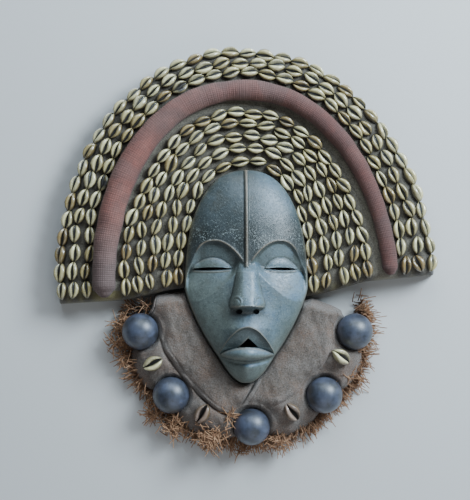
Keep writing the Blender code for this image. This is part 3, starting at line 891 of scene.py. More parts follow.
@dataclass(frozen=True)
class CarvedFace:
    """The carved wooden face, a hollow shell with slit eyes and an open mouth.

    Every x is measured from the face's middle line and every y up from the tip of the chin. Where a field holds
    two values for the eyes, they are for the viewer's left and right.
    """

    outline: FaceOutline = FaceOutline()
    edge: float = 0.036
    dome_rise: float = 0.027
    wall: float = 0.010
    front_wall: float = 0.013
    cells: tuple = (184, 300)
    back_cells: tuple = (60, 104)
    eye_places: tuple = (0.0382, 0.0372)
    eye_y: float = 0.1247
    eye_halves: tuple = (0.0186, 0.0148)
    slit_shift: float = 0.0014
    slit_tall: float = 0.0032
    lid_rise: float = 0.0037
    lid_tall: float = 0.0120
    lid_halves: tuple = (0.0221, 0.0187)
    socket_depth: float = 0.0092
    cheek_top: tuple = (0.0115, 0.1205)
    cheek_low: tuple = (0.0535, 0.0895)
    brow_x: float = 0.036
    brow_y: float = 0.127
    brow_rise: float = 0.028
    brow_inner: float = 0.035
    brow_outer: float = 0.027
    ridge_x: float = -0.0006
    ridge_half: float = 0.0029
    ridge_rise: float = 0.0026
    nose_root: float = 0.126
    nose_base: float = 0.0824
    nose_under: float = 0.0085
    nose_rise: float = 0.0200
    nose_places: tuple = (0.0735, 0.0780, 0.0822, 0.0860, 0.0905, 0.0960, 0.104, 0.118, 0.126, 0.131)
    nose_halves: tuple = (0.0045, 0.0110, 0.0188, 0.0197, 0.0186, 0.0165, 0.0148, 0.0122, 0.0106, 0.0070)
    wing: tuple = (0.0122, 0.0872)
    wing_reach: float = 0.0062
    mouth_half: float = 0.0305
    mouth_corner: float = 0.0315
    mouth_peak: float = 0.0605
    mouth_depth: float = 0.0120
    lip_top: float = 0.0396
    lip_low: float = 0.0250
    lip_rise: float = 0.0074
    muzzle_y: float = 0.040
    muzzle_rise: float = 0.011
    chin_rise: float = 0.0018
    knife_mark: tuple = (-0.0086, 0.0403)
    knife_step: float = 0.0099
    mouth_hole: Hole = Hole((0.0014, 0.0428, 0.050), (0.0118, 0.0118), 0.08, (1.05, 0.56), 3)
    nostril_x: tuple = (-0.0088, 0.0096)
    nostril_y: float = 0.0776
    smoothings: int = 14

    def dome(self, across: Array, share: Array) -> Array:
        """Return the height of the plain domed face."""
        sides = (1.0 - clamp(np.abs(across)) ** 1.7) ** 0.62
        ends = (1.0 - np.abs(2.0 * share - 1.0) ** 2.6) ** 0.5
        return self.edge + self.dome_rise * sides * ends

    def brow_line(self, side: Array) -> Array:
        """Return the y of the brow's arch."""
        inner = clamp((self.brow_x - side) / self.brow_inner) ** 2.0
        outer = np.clip((side - self.brow_x) / self.brow_outer, 0.0, 1.2) ** 2.6
        return self.brow_y + self.brow_rise * (1.0 - np.where(side < self.brow_x, inner, outer))

    def nose_half(self, y: Array) -> Array:
        """Return half the nose's width."""
        return np.interp(y, self.nose_places, self.nose_halves)

    def lids(self, x: Array) -> tuple[Array, Array]:
        """Return how full the lids are at each x, and how high they reach."""
        middle = np.where(x > 0.0, self.eye_places[1], self.eye_places[0])
        half = np.where(x > 0.0, self.lid_halves[1], self.lid_halves[0])
        lens = clamp(1.0 - ((np.abs(x) - middle) / half) ** 2) ** 0.85
        return lens, self.eye_y + self.lid_tall * lens

    def cheek_line(self, side: Array) -> Array:
        """Return the y of the slanting line under the cheek plane."""
        (top_x, top_y), (low_x, low_y) = self.cheek_top, self.cheek_low
        fall = clamp((side - top_x) / (low_x - top_x))
        return low_y + (top_y - low_y) * (1.0 - fall) ** 1.5

    def brow_and_eyes(self, x: Array, y: Array) -> tuple[Array, Array]:
        """Work out the brows, sockets, lids and cheek planes.

        Args:
            x: How far right of the middle line.
            y: How far above the chin.

        Returns:
            The relief, and how much it is rubbed.
        """
        side = np.abs(x)
        cheek = self.cheek_line(side)
        depth = clamp((y - cheek) / (self.eye_y - cheek + 0.002))
        line = self.brow_line(side)
        steps = np.linspace(0.0, 0.07, 281)
        steep = np.interp(side, steps, np.gradient(self.brow_line(steps), steps))
        from_brow = (y - line) / np.sqrt(1.0 + steep**2)
        under = 1.0 - ramp(-0.0034, -0.0002, from_brow)
        beside = ramp(-0.0005, 0.0060, side - self.nose_half(y))
        lens, lid_y = self.lids(x)
        rise = clamp((y - self.eye_y) / np.maximum(lid_y - self.eye_y, 1e-6))
        lid = clamp(1.0 - rise**2) ** 0.95 * (y > self.eye_y) * lens**0.5
        crease = bump_at(y, lid_y + 0.0005, 0.0008) * ramp(0.0, 0.4, lens)
        rim_y = self.eye_y - 0.0018 - 0.0017 * lens
        rim = bump_at(y, rim_y, 0.0008) * ramp(0.0, 0.45, lens)
        arch = bump_at(from_brow, 0.0002, 0.0008) * ramp(0.002, 0.008, side)
        arch = arch * (1.0 - ramp(0.0500, 0.0570, side))
        temple = ramp(0.050, 0.064, side) * ramp(self.eye_y - 0.004, self.eye_y + 0.006, y)
        temple = 1.0 - 0.9 * temple
        upward = clamp((y - self.eye_y) / np.maximum(line - self.eye_y, 0.004))
        relief = -self.socket_depth * depth * (1.0 - 0.62 * upward) * under * (0.25 + 0.75 * beside) * temple
        relief = relief + beside * (self.lid_rise * lid - 0.0006 * crease + 0.0009 * rim) + 0.0008 * arch
        top = bump_at(y, lid_y - 0.0012, 0.0007) * ramp(0.1, 0.6, lens)
        return relief, clamp(0.9 * arch + 0.8 * rim + 0.45 * top)

    def nose(self, side: Array, y: Array) -> Array:
        """Work out the nose with its curled wings and its underside.

        Args:
            side: Distance from the face's middle line.
            y: Distance above the tip of the chin.

        Returns:
            The relief.
        """
        along = clamp((self.nose_root - y) / (self.nose_root - self.nose_base))
        across = side / self.nose_half(y)
        body = clamp(1.0 - across**2.7) ** 0.8
        start = ramp(self.nose_root + 0.0045, self.nose_root - 0.0020, y)
        base = self.nose_base + 0.0006 - 0.0018 * bump_at(side, 0.0130, 0.0048)
        under = clamp((y - (base - self.nose_under)) / self.nose_under) ** 2.4
        bulb = 0.0014 * bump_at(y, 0.0905, 0.0065) * bump_at(side, 0.0, 0.0080)
        wing_x, wing_y = self.wing
        away = np.hypot(side - wing_x, (y - wing_y) / 1.15)
        over = ramp(-0.0025, 0.0015, y - wing_y) * ramp(0.0190, 0.0175, side)
        ridge = bump_at(away, 0.0052, 0.0009) * over
        groove = bump_at(away, 0.0036, 0.0008) * over
        wing = 0.0010 * clamp(1.0 - (away / self.wing_reach) ** 2) ** 0.6
        relief = self.nose_rise * (0.22 + 0.78 * along**0.92) * body + bulb + wing
        return relief * start * under + (0.0007 * ridge - 0.0009 * groove) * start * under

    def mouth(self, x: Array, y: Array) -> tuple[Array, Array]:
        """Work out the muzzle, the arched upper lip, the hollow, the lower lip and the chin.

        Args:
            x: How far right of the middle line.
            y: How far above the chin.

        Returns:
            The relief, and how much it is rubbed.
        """
        side = clamp(np.abs(x) / self.mouth_half)
        inside = 1.0 - ramp(0.95, 1.0, side)
        corner = self.mouth_corner
        arch = corner + (self.mouth_peak - corner) * (1.0 - side**1.9)
        top, low = (corner + (edge - corner) * (1.0 - side**2) for edge in (self.lip_top, self.lip_low))
        muzzle = self.muzzle_rise * np.exp(-((x / 0.025) ** 2) - ((y - self.muzzle_y) / 0.026) ** 2)
        tall = np.maximum(arch - top, 1e-6)
        down = clamp((arch - y) / tall) * (y > top)
        hollow = self.mouth_depth * down**0.55
        hollow = hollow * clamp(tall / (self.mouth_peak - self.lip_top)) ** 0.8
        share = clamp((y - low) / np.maximum(top - low, 1e-6))
        lip = self.lip_rise * np.sin(math.pi * share**0.62) ** 0.8 * (1.0 - side**3.0)
        rim = bump_at(y, arch + 0.0008, 0.0009) * inside
        groove = bump_at(y, low - 0.0026, 0.0028) * inside
        channel = bump_at(x, 0.0, 0.0026) * ramp(0.0600, 0.0635, y) * ramp(0.0760, 0.0725, y)
        chin = bump_at(x, 0.0, 0.0080) * ramp(0.0225, 0.0165, y) * ramp(0.001, 0.006, y)
        relief = muzzle - hollow * inside + lip + 0.0010 * rim - 0.0026 * groove - 0.0002 * channel
        relief = relief + self.chin_rise * chin
        crest = bump_at(share, 0.90, 0.10) * inside * (y > low) * (y < top)
        right, up, step = x - self.knife_mark[0], y - self.knife_mark[1], self.knife_step
        along = clamp((right + up) / (2.0 * step)) * step
        mark = bump_at(np.hypot(right - along, up - along), 0.0, 0.0009)
        return relief, clamp(0.8 * rim + 0.55 * crest + 0.6 * mark)

    def ridge(self, x: Array, y: Array) -> tuple[Array, Array]:
        """Work out the forehead's upright ridge.

        Args:
            x: How far right of the middle line.
            y: How far above the chin.

        Returns:
            The relief, and how much its crest is rubbed.
        """
        away = np.abs(x - self.ridge_x)
        length = ramp(self.nose_root - 0.003, self.nose_root + 0.003, y)
        round_top = clamp(1.0 - (away / self.ridge_half) ** 2) ** 1.1
        return self.ridge_rise * round_top * length, bump_at(away, 0.0, 0.0013) * length

    def height(self, x: Array, y: Array) -> Array:
        """Return the height of the carved front.

        Args:
            x: How far right of the middle line.
            y: How far above the chin.

        Returns:
            Heights above the back plane.
        """
        share = clamp(y / self.outline.length)
        side = np.abs(x)
        across = side / np.maximum(self.outline.half_width(share), 1e-6)
        plain = self.dome(across, share)
        eyes = self.brow_and_eyes(x, y)[0]
        hand = 0.00022 * unevenness(x, y, 0.024, 4) + 0.00002 * unevenness(x, y, 0.007, 5)
        relief = eyes + self.nose(side, y) + self.mouth(x, y)[0] + self.ridge(x, y)[0] + hand
        rounded = shoulder(clamp(1.0 - across) * 0.03, 0.0022)
        return plain + relief * ramp(1.0, 0.93, across) - rounded

    def front(self, mesh: Mesh) -> None:
        """Shape the carved front.

        Args:
            mesh: A flat grid.
        """
        points = read_points(mesh)
        across = 2.0 * points[:, 0] - 1.0
        across = np.sign(across) * np.abs(across) ** 1.12
        share = np.interp(points[:, 1], (0.0, 0.07, 0.80, 1.0), (0.0, 0.05, 0.70, 1.0))
        crown = clamp((share - 0.70) / 0.30)
        share = np.where(share > 0.70, 0.70 + 0.30 * np.sin(math.pi / 2.0 * crown), share)
        share = 0.004 + 0.995 * share
        x = across * self.outline.half_width(share)
        y = share * self.outline.length
        write_points(mesh, self.outline.placed(x, y, self.height(x, y)))

    def hollow(self, mesh: Mesh) -> None:
        """Shape the scooped-out back.

        Args:
            mesh: A flat grid.
        """
        points = read_points(mesh)
        across = 2.0 * points[:, 0] - 1.0
        share = 0.01 + 0.98 * (0.5 - 0.5 * np.cos(math.pi * points[:, 1]))
        narrow = 1.0 - self.wall / (self.outline.width / 2.0)
        x = across * self.outline.half_width(share) * narrow
        y = self.wall * 1.3 + share * (self.outline.length - self.wall * 2.3)
        gouged = 0.0006 * unevenness(x, y, 0.012, 9)
        z = self.dome(np.abs(across), share) - self.front_wall + gouged * (1.0 - np.abs(across) ** 6)
        write_points(mesh, self.outline.placed(x, y, z))

    def shell(self) -> Mesh:
        """Join front, sides, back rim and hollow.

        Returns:
            One closed shell.
        """
        front, back = grid_mesh("carved_face", *self.cells), grid_mesh("face_back", *self.back_cells)
        self.front(front)
        self.hollow(back)
        inner_bm = bmesh.new()
        inner_bm.from_mesh(back)
        bmesh.ops.reverse_faces(inner_bm, faces=inner_bm.faces)
        drop_edge(inner_bm, 0.0)
        finish_mesh(inner_bm, back, outwards=False)
        bm = bmesh.new()
        bm.from_mesh(front)
        outer = drop_edge(bm, 0.0)
        known = set(bm.edges)
        bm.from_mesh(back)
        inner = [edge for edge in bm.edges if edge not in known and edge.is_boundary]
        bmesh.ops.bridge_loops(bm, edges=outer + inner)
        bpy.data.meshes.remove(back)
        return finish_mesh(bm, front)

    def holes(self) -> list[Hole]:
        """Place the eye slits, the mouth and the nostrils.

        Returns:
            The holes.
        """
        slits = []
        for side, half, away in zip((-1.0, 1.0), self.eye_halves, self.eye_places):
            place = (side * (away + self.slit_shift), self.eye_y, 0.050)
            slits.append(Hole(place, (half, half), 0.07, (1.0, self.slit_tall / 2.0 / half), 40))
        half, taper, y = (0.0026, 0.0033), (1.25, 0.98), self.nostril_y
        nostrils = [Hole((x, y, 0.070), half, 0.030, taper) for x in self.nostril_x]
        return [*slits, self.mouth_hole, *nostrils]

    def cutter(self) -> bpy.types.Object:
        """Build what cuts the holes.

        Returns:
            An object of closed shapes.
        """
        bm = bmesh.new()
        for hole in self.holes():
            hole.cut(bm, self.outline)
        made = new_object("face_cuts", finish_mesh(bm, "face_cuts"))
        return made

    def standing_out(self, x: Array, y: Array) -> Array:
        """Find how far points stand out of a smoothed copy of the surface.

        Args:
            x: How far right of the middle line.
            y: How far above the chin.

        Returns:
            One distance for each point, below 0 in hollows.
        """
        xs, ys = np.linspace(-0.072, 0.072, 289), np.linspace(-0.006, 0.240, 493)
        relief = soft = self.height(*np.meshgrid(xs, ys))
        for _ in range(self.smoothings):
            soft = sum((np.roll(soft, step, axis) for axis in (0, 1) for step in (1, -1)), soft) / 5.0
        column = np.interp(x, xs, np.arange(len(xs))).round().astype(int)
        row = np.interp(y, ys, np.arange(len(ys))).round().astype(int)
        return (relief - soft)[row, column]

    def wear(self, x: Array, y: Array, stands: Array) -> Array:
        """Find where the wood is rubbed.

        Args:
            x: How far right of the middle line.
            y: How far above the chin.
            stands: How far each point stands out of the surface round it.

        Returns:
            Shares from 0 to 1.
        """
        outline, side = self.outline, np.abs(x)
        lines = self.brow_and_eyes(x, y)[1] + self.mouth(x, y)[1] * 0.8 + self.ridge(x, y)[1]
        wear = clamp(lines * 0.75 + ramp(0.00030, 0.0012, stands) * 0.25)
        across = side / np.maximum(outline.half_width(clamp(y / outline.length)), 1e-6)
        half = self.nose_half(y)
        base = bump_at(y, self.nose_base + 0.0004, 0.0008) * ramp(half, half - 0.002, side)
        return np.maximum.reduce((wear, 0.4 * bump_at(across, 0.985, 0.010), 0.6 * base))

    def pale_and_lit(self, x: Array, y: Array, chin: Array) -> Array:
        """Find where the face is painted lighter: lighter from the eyes down, with painted light on the lids,
        the right of the forehead, the sockets and the chin, and painted shade below the cheek planes and in the
        upper-lip hollow.

        Args:
            x: How far right of the middle line.
            y: How far above the chin.
            chin: How near each point is to the chin's front.

        Returns:
            Shares from 0 to 1.
        """
        side = np.abs(x)
        lens, lid_y = self.lids(x)
        # Painted light on the lids, which face the light.
        lid = ramp(0.0, 0.3, lens) * (y > self.eye_y) * ramp(lid_y + 0.0004, lid_y - 0.0010, y)
        # Painted light on the right of the forehead, which faces the light.
        forehead = ramp(0.000, 0.026, x) * ramp(0.165, 0.205, y)
        # The sockets are painted lighter, the right one more, as painted light.
        socket = ramp(0.0, 0.004, self.brow_line(side) - y) * (y > self.eye_y - 0.004)
        socket = socket * np.where(x > 0.0, 0.62, 0.34)
        pale_and_lit = np.maximum.reduce((0.95 * ramp(0.1290, 0.1190, y), 0.85 * lid, 0.55 * forehead, socket))
        # Painted shade below the cheek planes, heavier on the left.
        below = ramp(0.001, -0.001, y - self.cheek_line(side)) * ramp(0.014, 0.022, side)
        pale_and_lit = pale_and_lit * (1.0 - below * ramp(0.070, 0.100, y) * np.where(x > 0.0, 0.16, 0.30))
        # Painted shade in the hollow inside the upper lip.
        hollow = ramp(self.mouth_peak + 0.001, self.mouth_peak - 0.003, y) * (y > self.lip_top)
        pale_and_lit = pale_and_lit * (1.0 - 0.75 * hollow * ramp(self.mouth_half, self.mouth_half * 0.7, side))
        # Painted light on the chin.
        return np.maximum(pale_and_lit, 0.9 * chin)

    def painted_shade(self, x: Array, y: Array, stands: Array) -> Array:
        """Find where the face gets painted shade: in hollows, above the brows, under the nose and on its left.

        Args:
            x: How far right of the middle line.
            y: How far above the chin.
            stands: How far each point stands out of the surface round it.

        Returns:
            Shares from 0 to 1.
        """
        side, low = np.abs(x), y - self.nose_base
        # Painted shade in a band above the brows.
        above = (y > self.brow_line(side)) * bump_at(y, 0.150, 0.026)
        # Painted shade under the nose.
        under = ramp(0.0004, -0.0008, low) * ramp(-0.0110, -0.0070, low)
        under = under * ramp(0.0215, 0.0170, side)
        # Painted shade on the nose's left side.
        beside = bump_at(x, -0.0150, 0.0080) * bump_at(y, 0.096, 0.026)
        # Painted shade in hollows, where the surface lies below its smoothed copy.
        hollow = ramp(0.0001, 0.0012, -stands)
        return clamp(hollow + 0.80 * above + 0.85 * under + 0.30 * beside)

    def marks(self, mesh: Mesh) -> None:
        """Store where the face is rubbed, painted lighter, given painted shade, dusty or painted with glints,
        and given a painted sky reflection.

        Args:
            mesh: The finished face.
        """
        points = read_points(mesh)
        x, y = points[:, 0] - self.outline.middle, points[:, 1] - self.outline.chin
        side, stands = np.abs(x), self.standing_out(x, y)
        # The chin's front, which gets painted light and less painted shade.
        chin = ramp(0.025, 0.019, y) * bump_at(x, 0.0, 0.017)
        forehead = bump_at(y, 0.160, 0.017) * ramp(0.003, 0.010, side) * (y > self.brow_line(side))
        # Painted glints on the nose, stored with the dust.
        nose = bump_at(x, 0.001, 0.012) * bump_at(y, 0.101, 0.024)
        normals = np.empty(len(points) * 3)
        mesh.vertex_normals.foreach_get("vector", normals)
        # Faces that look up towards the light get a painted sky reflection.
        upward = ramp(0.58, 0.95, normals.reshape(-1, 3) @ np.array((0.36, 0.52, 0.78)))
        # Painted highlight on the lower lip.
        lip = bump_at(y, self.lip_top - 0.0035, 0.0032)
        lip = lip * ramp(self.mouth_half, 0.6 * self.mouth_half, side)
        # Painted highlight on the nose's bridge.
        bridge = bump_at(x, 0.002, 0.0075) * bump_at(y, 0.099, 0.024)
        shares = {
            "painted_shade": self.painted_shade(x, y, stands) * (1.0 - 0.7 * chin),
            "pale_and_lit": self.pale_and_lit(x, y, chin),
            "sky": np.maximum.reduce((upward, 0.6 * lip, 0.5 * bridge)),
            "wear": self.wear(x, y, stands),
            "dust_and_glints": clamp(forehead + nose),
        }
        is_front = points[:, 2] > self.edge - 0.012
        for name, share in shares.items():
            paint(mesh, name, share * is_front)

    def build(self, finish: Material) -> None:
        """Build the face, cut its holes and dress it.

        Args:
            finish: The wood's finish.
        """
        piece = place_piece(self.shell(), Slot.WOOD, (), "mask_face")
        cuts = self.cutter()
        modifier = piece.modifiers.new("cuts", "BOOLEAN")
        modifier.operation = "DIFFERENCE"
        modifier.object = cuts
        modifier.solver = "EXACT"
        graph = bpy.context.evaluated_depsgraph_get()
        cut = bpy.data.meshes.new_from_object(piece.evaluated_get(graph))
        piece.modifiers.clear()
        piece.data = cut
        bpy.data.objects.remove(cuts)
        cut.shade_smooth()
        cut.set_sharp_from_angle(angle=math.radians(50.0))
        cut.materials.clear()
        cut.materials.append(finish)
        self.marks(cut)


@dataclass(frozen=True)
class RowFrames:
    """Places along one row of the fan, with the directions there."""

    point: Array
    ahead: Array
    side: Array
    normal: Array


@dataclass(frozen=True)
class FanForm:
    """The front surface of the fan, in directions round its centre and shares from face to rim."""

    outline: FaceOutline = FaceOutline()
    centre: tuple = (0.0015, -0.0466)
    tilt: float = math.radians(4.5)
    half_width: float = 0.2085
    height: float = 0.2695
    power: float = 2.08
    thickness: float = 0.027
    swell: float = 0.003
    edge_round: float = 0.014
    foot_round: float = 0.008
    foot_drop_right: float = math.radians(9.0)
    foot_raise: float = math.radians(0.9)
    foot_lift_left: float = math.radians(8.0)
    foot_bend: float = 0.5
    clearance: float = 0.0008

    def inner(self, turn: Array) -> Array:
        """Return the radius of the edge beside the face."""
        return self.outline.reach(self.centre, turn + self.tilt) + self.clearance

    def outer(self, turn: Array) -> Array:
        """Return the radius of the rim."""
        side = np.abs(np.cos(turn)) / self.half_width
        up = np.abs(np.sin(turn)) / self.height
        return (side**self.power + up**self.power) ** (-1.0 / self.power)

    def feet(self, out: Array) -> tuple[Array, Array]:
        """Return the first and last direction at shares of the way out."""
        bend = np.maximum(1.0 - out / self.foot_bend, 0.0) ** 1.5
        raised = self.foot_raise * (1.0 - bend)
        return raised - self.foot_drop_right * bend, math.pi - raised - self.foot_lift_left * bend

    def point(self, turn: Array, out: Array) -> Array:
        """Find points of the front.

        Args:
            turn: Directions from the centre, in radians from the viewer's right.
            out: Shares of the way from the face to the rim.

        Returns:
            Rows of x, y, z.
        """
        near, far = self.inner(turn), self.outer(turn)
        radius = near + (far - near) * out
        first, last = self.feet(out)
        gap = np.minimum(np.minimum(turn - first, last - turn), math.pi / 2.0)
        height = self.thickness + self.swell * (1.0 - (2.0 * out - 1.0) ** 2)
        height = height - shoulder(far - radius, self.edge_round)
        height = height - shoulder(radius * np.sin(gap), self.foot_round)
        x = self.centre[0] + radius * np.cos(turn + self.tilt)
        y = self.centre[1] + radius * np.sin(turn + self.tilt)
        return np.stack((x, y, height), axis=-1)

    def share(self, place: tuple[float, float, float], turn: Array) -> Array:
        """Return how far out a row lies at each direction."""
        right, crown, left = place
        side = np.where(np.cos(turn) > 0.0, right, left)
        return side + (crown - side) * np.sin(turn) ** 2

    def turns(self, place: tuple[float, float, float], trim: float, count: int) -> tuple[Array, float]:
        """Return evenly spaced directions along a row.

        Args:
            place: Shares of the row on the right, over the crown and on the left.
            trim: Length left free at each end.
            count: How many steps the row is cut into.

        Returns:
            The directions of the step ends, and the length between the first and last.
        """
        first, last = self.feet(np.array(place[0]))[0], self.feet(np.array(place[2]))[1]
        turn = np.linspace(float(first), float(last), 401)
        points = self.point(turn, self.share(place, turn))[:, :2]
        lengths = np.concatenate(([0.0], np.cumsum(np.linalg.norm(np.diff(points, axis=0), axis=1))))
        usable = float(lengths[-1]) - 2.0 * trim
        return np.interp(trim + usable * np.linspace(0.0, 1.0, count + 1), lengths, turn), usable

    def frames(self, place: tuple[float, float, float], turn: Array) -> RowFrames:
        """Find places along a row.

        Args:
            place: Shares of the row on the right, over the crown and on the left.
            turn: Directions round the centre.

        Returns:
            The places, and which way the row and the surface face there.
        """
        step = 0.004
        out = self.share(place, turn)
        before = self.point(turn - step, self.share(place, turn - step))
        after = self.point(turn + step, self.share(place, turn + step))
        ahead = unit(after - before)
        outward = self.point(turn, np.minimum(out + step, 1.0)) - self.point(turn, out - step)
        normal = unit(np.cross(outward, ahead))
        normal = np.where(normal[:, 2:] < 0.0, -normal, normal)
        return RowFrames(self.point(turn, out), ahead, unit(np.cross(ahead, normal)), normal)


@dataclass(frozen=True)
class FanCloth:
    """The stuffed cloth that the shells are sewn on."""

    form: FanForm = FanForm()
    flat_columns: int = 60
    rim_columns: int = 12
    rows: int = 400

    def front(self, mesh: Mesh) -> None:
        """Shape the front, whose last columns lie where the rim turns down.

        Args:
            mesh: A flat grid.
        """
        form = self.form
        points = read_points(mesh)
        column, row = points[:, 0] * (self.flat_columns + self.rim_columns), points[:, 1]
        band = form.outer(math.pi * row) - form.inner(math.pi * row)
        on_rim = clamp((column - self.flat_columns) / self.rim_columns)
        rim = form.edge_round * (1.0 - np.sin(on_rim * math.pi / 2.0)) / band
        flat = column / self.flat_columns * (1.0 - form.edge_round / band)
        out = np.where(column > self.flat_columns, 1.0 - rim, flat)
        first, last = form.feet(out)
        placed = form.point(first + (last - first) * row, out)
        lumps = 0.00030 * unevenness(placed[:, 0], placed[:, 1], 0.016, 12)
        placed[:, 2] += (lumps - 0.0002) * ramp(0.0, 0.01, placed[:, 2])
        write_points(mesh, placed)

    def marks(self, mesh: Mesh) -> None:
        """Store where shells and roll shade the cloth, and where the yellowish edge shows.

        Args:
            mesh: The finished body.
        """
        form = self.form
        points = read_points(mesh)
        x, y = points[:, 0] - form.centre[0], points[:, 1] - form.centre[1]
        turn, radius = np.arctan2(y, x) - form.tilt, np.hypot(x, y)
        foot = radius * np.sin(np.clip(np.minimum(turn, math.pi - turn), -0.6, math.pi / 2.0))
        near, far = form.inner(turn), form.outer(turn)
        upper_right = bump_at(turn, 1.0, 0.22) * ramp(0.012, 0.002, far - radius)
        out = (radius - near) / (far - near)
        # Painted shade under and between the rows of shells.
        sewn = np.maximum.reduce([bump_at(out, form.share(place, turn), 0.066) for place, _, _ in STRANDS])
        roll = bump_at(out, form.share(ROLL_PLACE, turn), 0.08)
        paint(mesh, "second", clamp(ramp(0.007, -0.004, foot) * 0.75 + 0.6 * upper_right))
        # On the fan the seam share holds painted shade under the shells and beside the roll.
        paint(mesh, "seam", clamp(1.05 * sewn + 0.12 * roll) * (points[:, 2] > 0.004))
        paint(mesh, "rubbed", np.zeros(len(points)))

    def build(self, finish: Material) -> None:
        """Build the fan's cloth body and dress it.

        Args:
            finish: The cloth's finish.
        """
        mesh = grid_mesh("fan_cloth", self.flat_columns + self.rim_columns, self.rows)
        self.front(mesh)
        close_to_floor(mesh)
        self.marks(mesh)
        place_piece(mesh, Slot.FAN_CLOTH, (finish,), "headdress_fan", fill=0.9)


@dataclass(frozen=True)
class ClothRoll:
    """The red roll between the strands, thicker at its left end, with fine cross ribs."""

    form: FanForm = FanForm()
    place: tuple = ROLL_PLACE
    radius_places: tuple = (0.0, 0.25, 0.50, 0.72, 0.90, 1.0)
    radii: tuple = (0.0088, 0.0101, 0.0114, 0.0140, 0.0136, 0.0122)
    trim: float = 0.005
    sink: float = 0.5
    clearance: float = 0.0003
    uv_radius: float = 0.012
    rib_pitch: float = 0.0036
    rib_rise: float = 0.00007
    sides: int = 26
    steps: int = 960

    def shape(self, mesh: Mesh, around: Array, along: Array) -> float:
        """Bend a flat grid into the roll.

        Args:
            mesh: The grid.
            around: Directions round the roll of its points.
            along: Shares of the way from the right end to the left.

        Returns:
            The roll's length.
        """
        turns, length = self.form.turns(self.place, self.trim, self.steps)
        rows = self.form.frames(self.place, np.interp(along * self.steps, np.arange(self.steps + 1), turns))
        radius = np.interp(along, self.radius_places, self.radii)
        from_end = np.minimum(along, 1.0 - along) * length
        cap = np.sqrt(clamp(1.0 - clamp(1.0 - from_end / (radius * 0.9)) ** 2))
        rib = self.rib_rise * np.sin(math.tau * along * length / self.rib_pitch)
        wide = 0.045 * unevenness(along * length, np.cos(around) * 0.004, 0.055, 21)
        lump = 1.0 + wide + 0.030 * unevenness(along * length, np.cos(around) * 0.008, 0.022, 23)
        grown = (radius * lump + rib) * cap
        up = self.clearance + np.maximum(radius * self.sink + grown * np.sin(around), 0.0)
        across = rows.side * (grown * np.cos(around))[:, None]
        write_points(mesh, rows.point + across + rows.normal * up[:, None])
        return length

    def build(self, finish: Material) -> None:
        """Build the roll and dress it.

        Args:
            finish: The cloth's finish.
        """
        mesh = grid_mesh("cloth_roll", self.sides, self.steps)
        flat = read_points(mesh)
        around, along = (flat[:, 0] - 0.25) * math.tau, flat[:, 1]
        length = self.shape(mesh, around, along)
        layer = mesh.uv_layers["cloth"]
        uv = np.empty(len(layer.data) * 2)
        layer.data.foreach_get("uv", uv)
        uv = uv.reshape(-1, 2) * (math.tau * self.uv_radius, length)
        layer.data.foreach_set("uv", np.ascontiguousarray(uv).ravel())
        worn = 0.35 * ramp(0.2, 0.7, unevenness(along * length, np.cos(around) * 0.01, 0.05, 22))
        soil = ramp(0.84, 0.95, along) * 0.9 + bump_at(along, 0.52, 0.10) * 0.5 + worn
        paint(mesh, "soil", clamp(soil))
        # Painted shade on the underside where the roll meets the fan, and darker towards its right end.
        low = 0.85 * ramp(0.50, -0.15, np.sin(around)) + 0.58 * ramp(0.56, 0.32, along)
        paint(mesh, "low", np.clip(low, 0.0, 0.9))
        bm = bmesh.new()
        bm.from_mesh(mesh)
        bmesh.ops.remove_doubles(bm, verts=bm.verts, dist=0.00002)
        place_piece(finish_mesh(bm, mesh), Slot.RED_CLOTH, (finish,), "headdress_roll", fill=0.9)


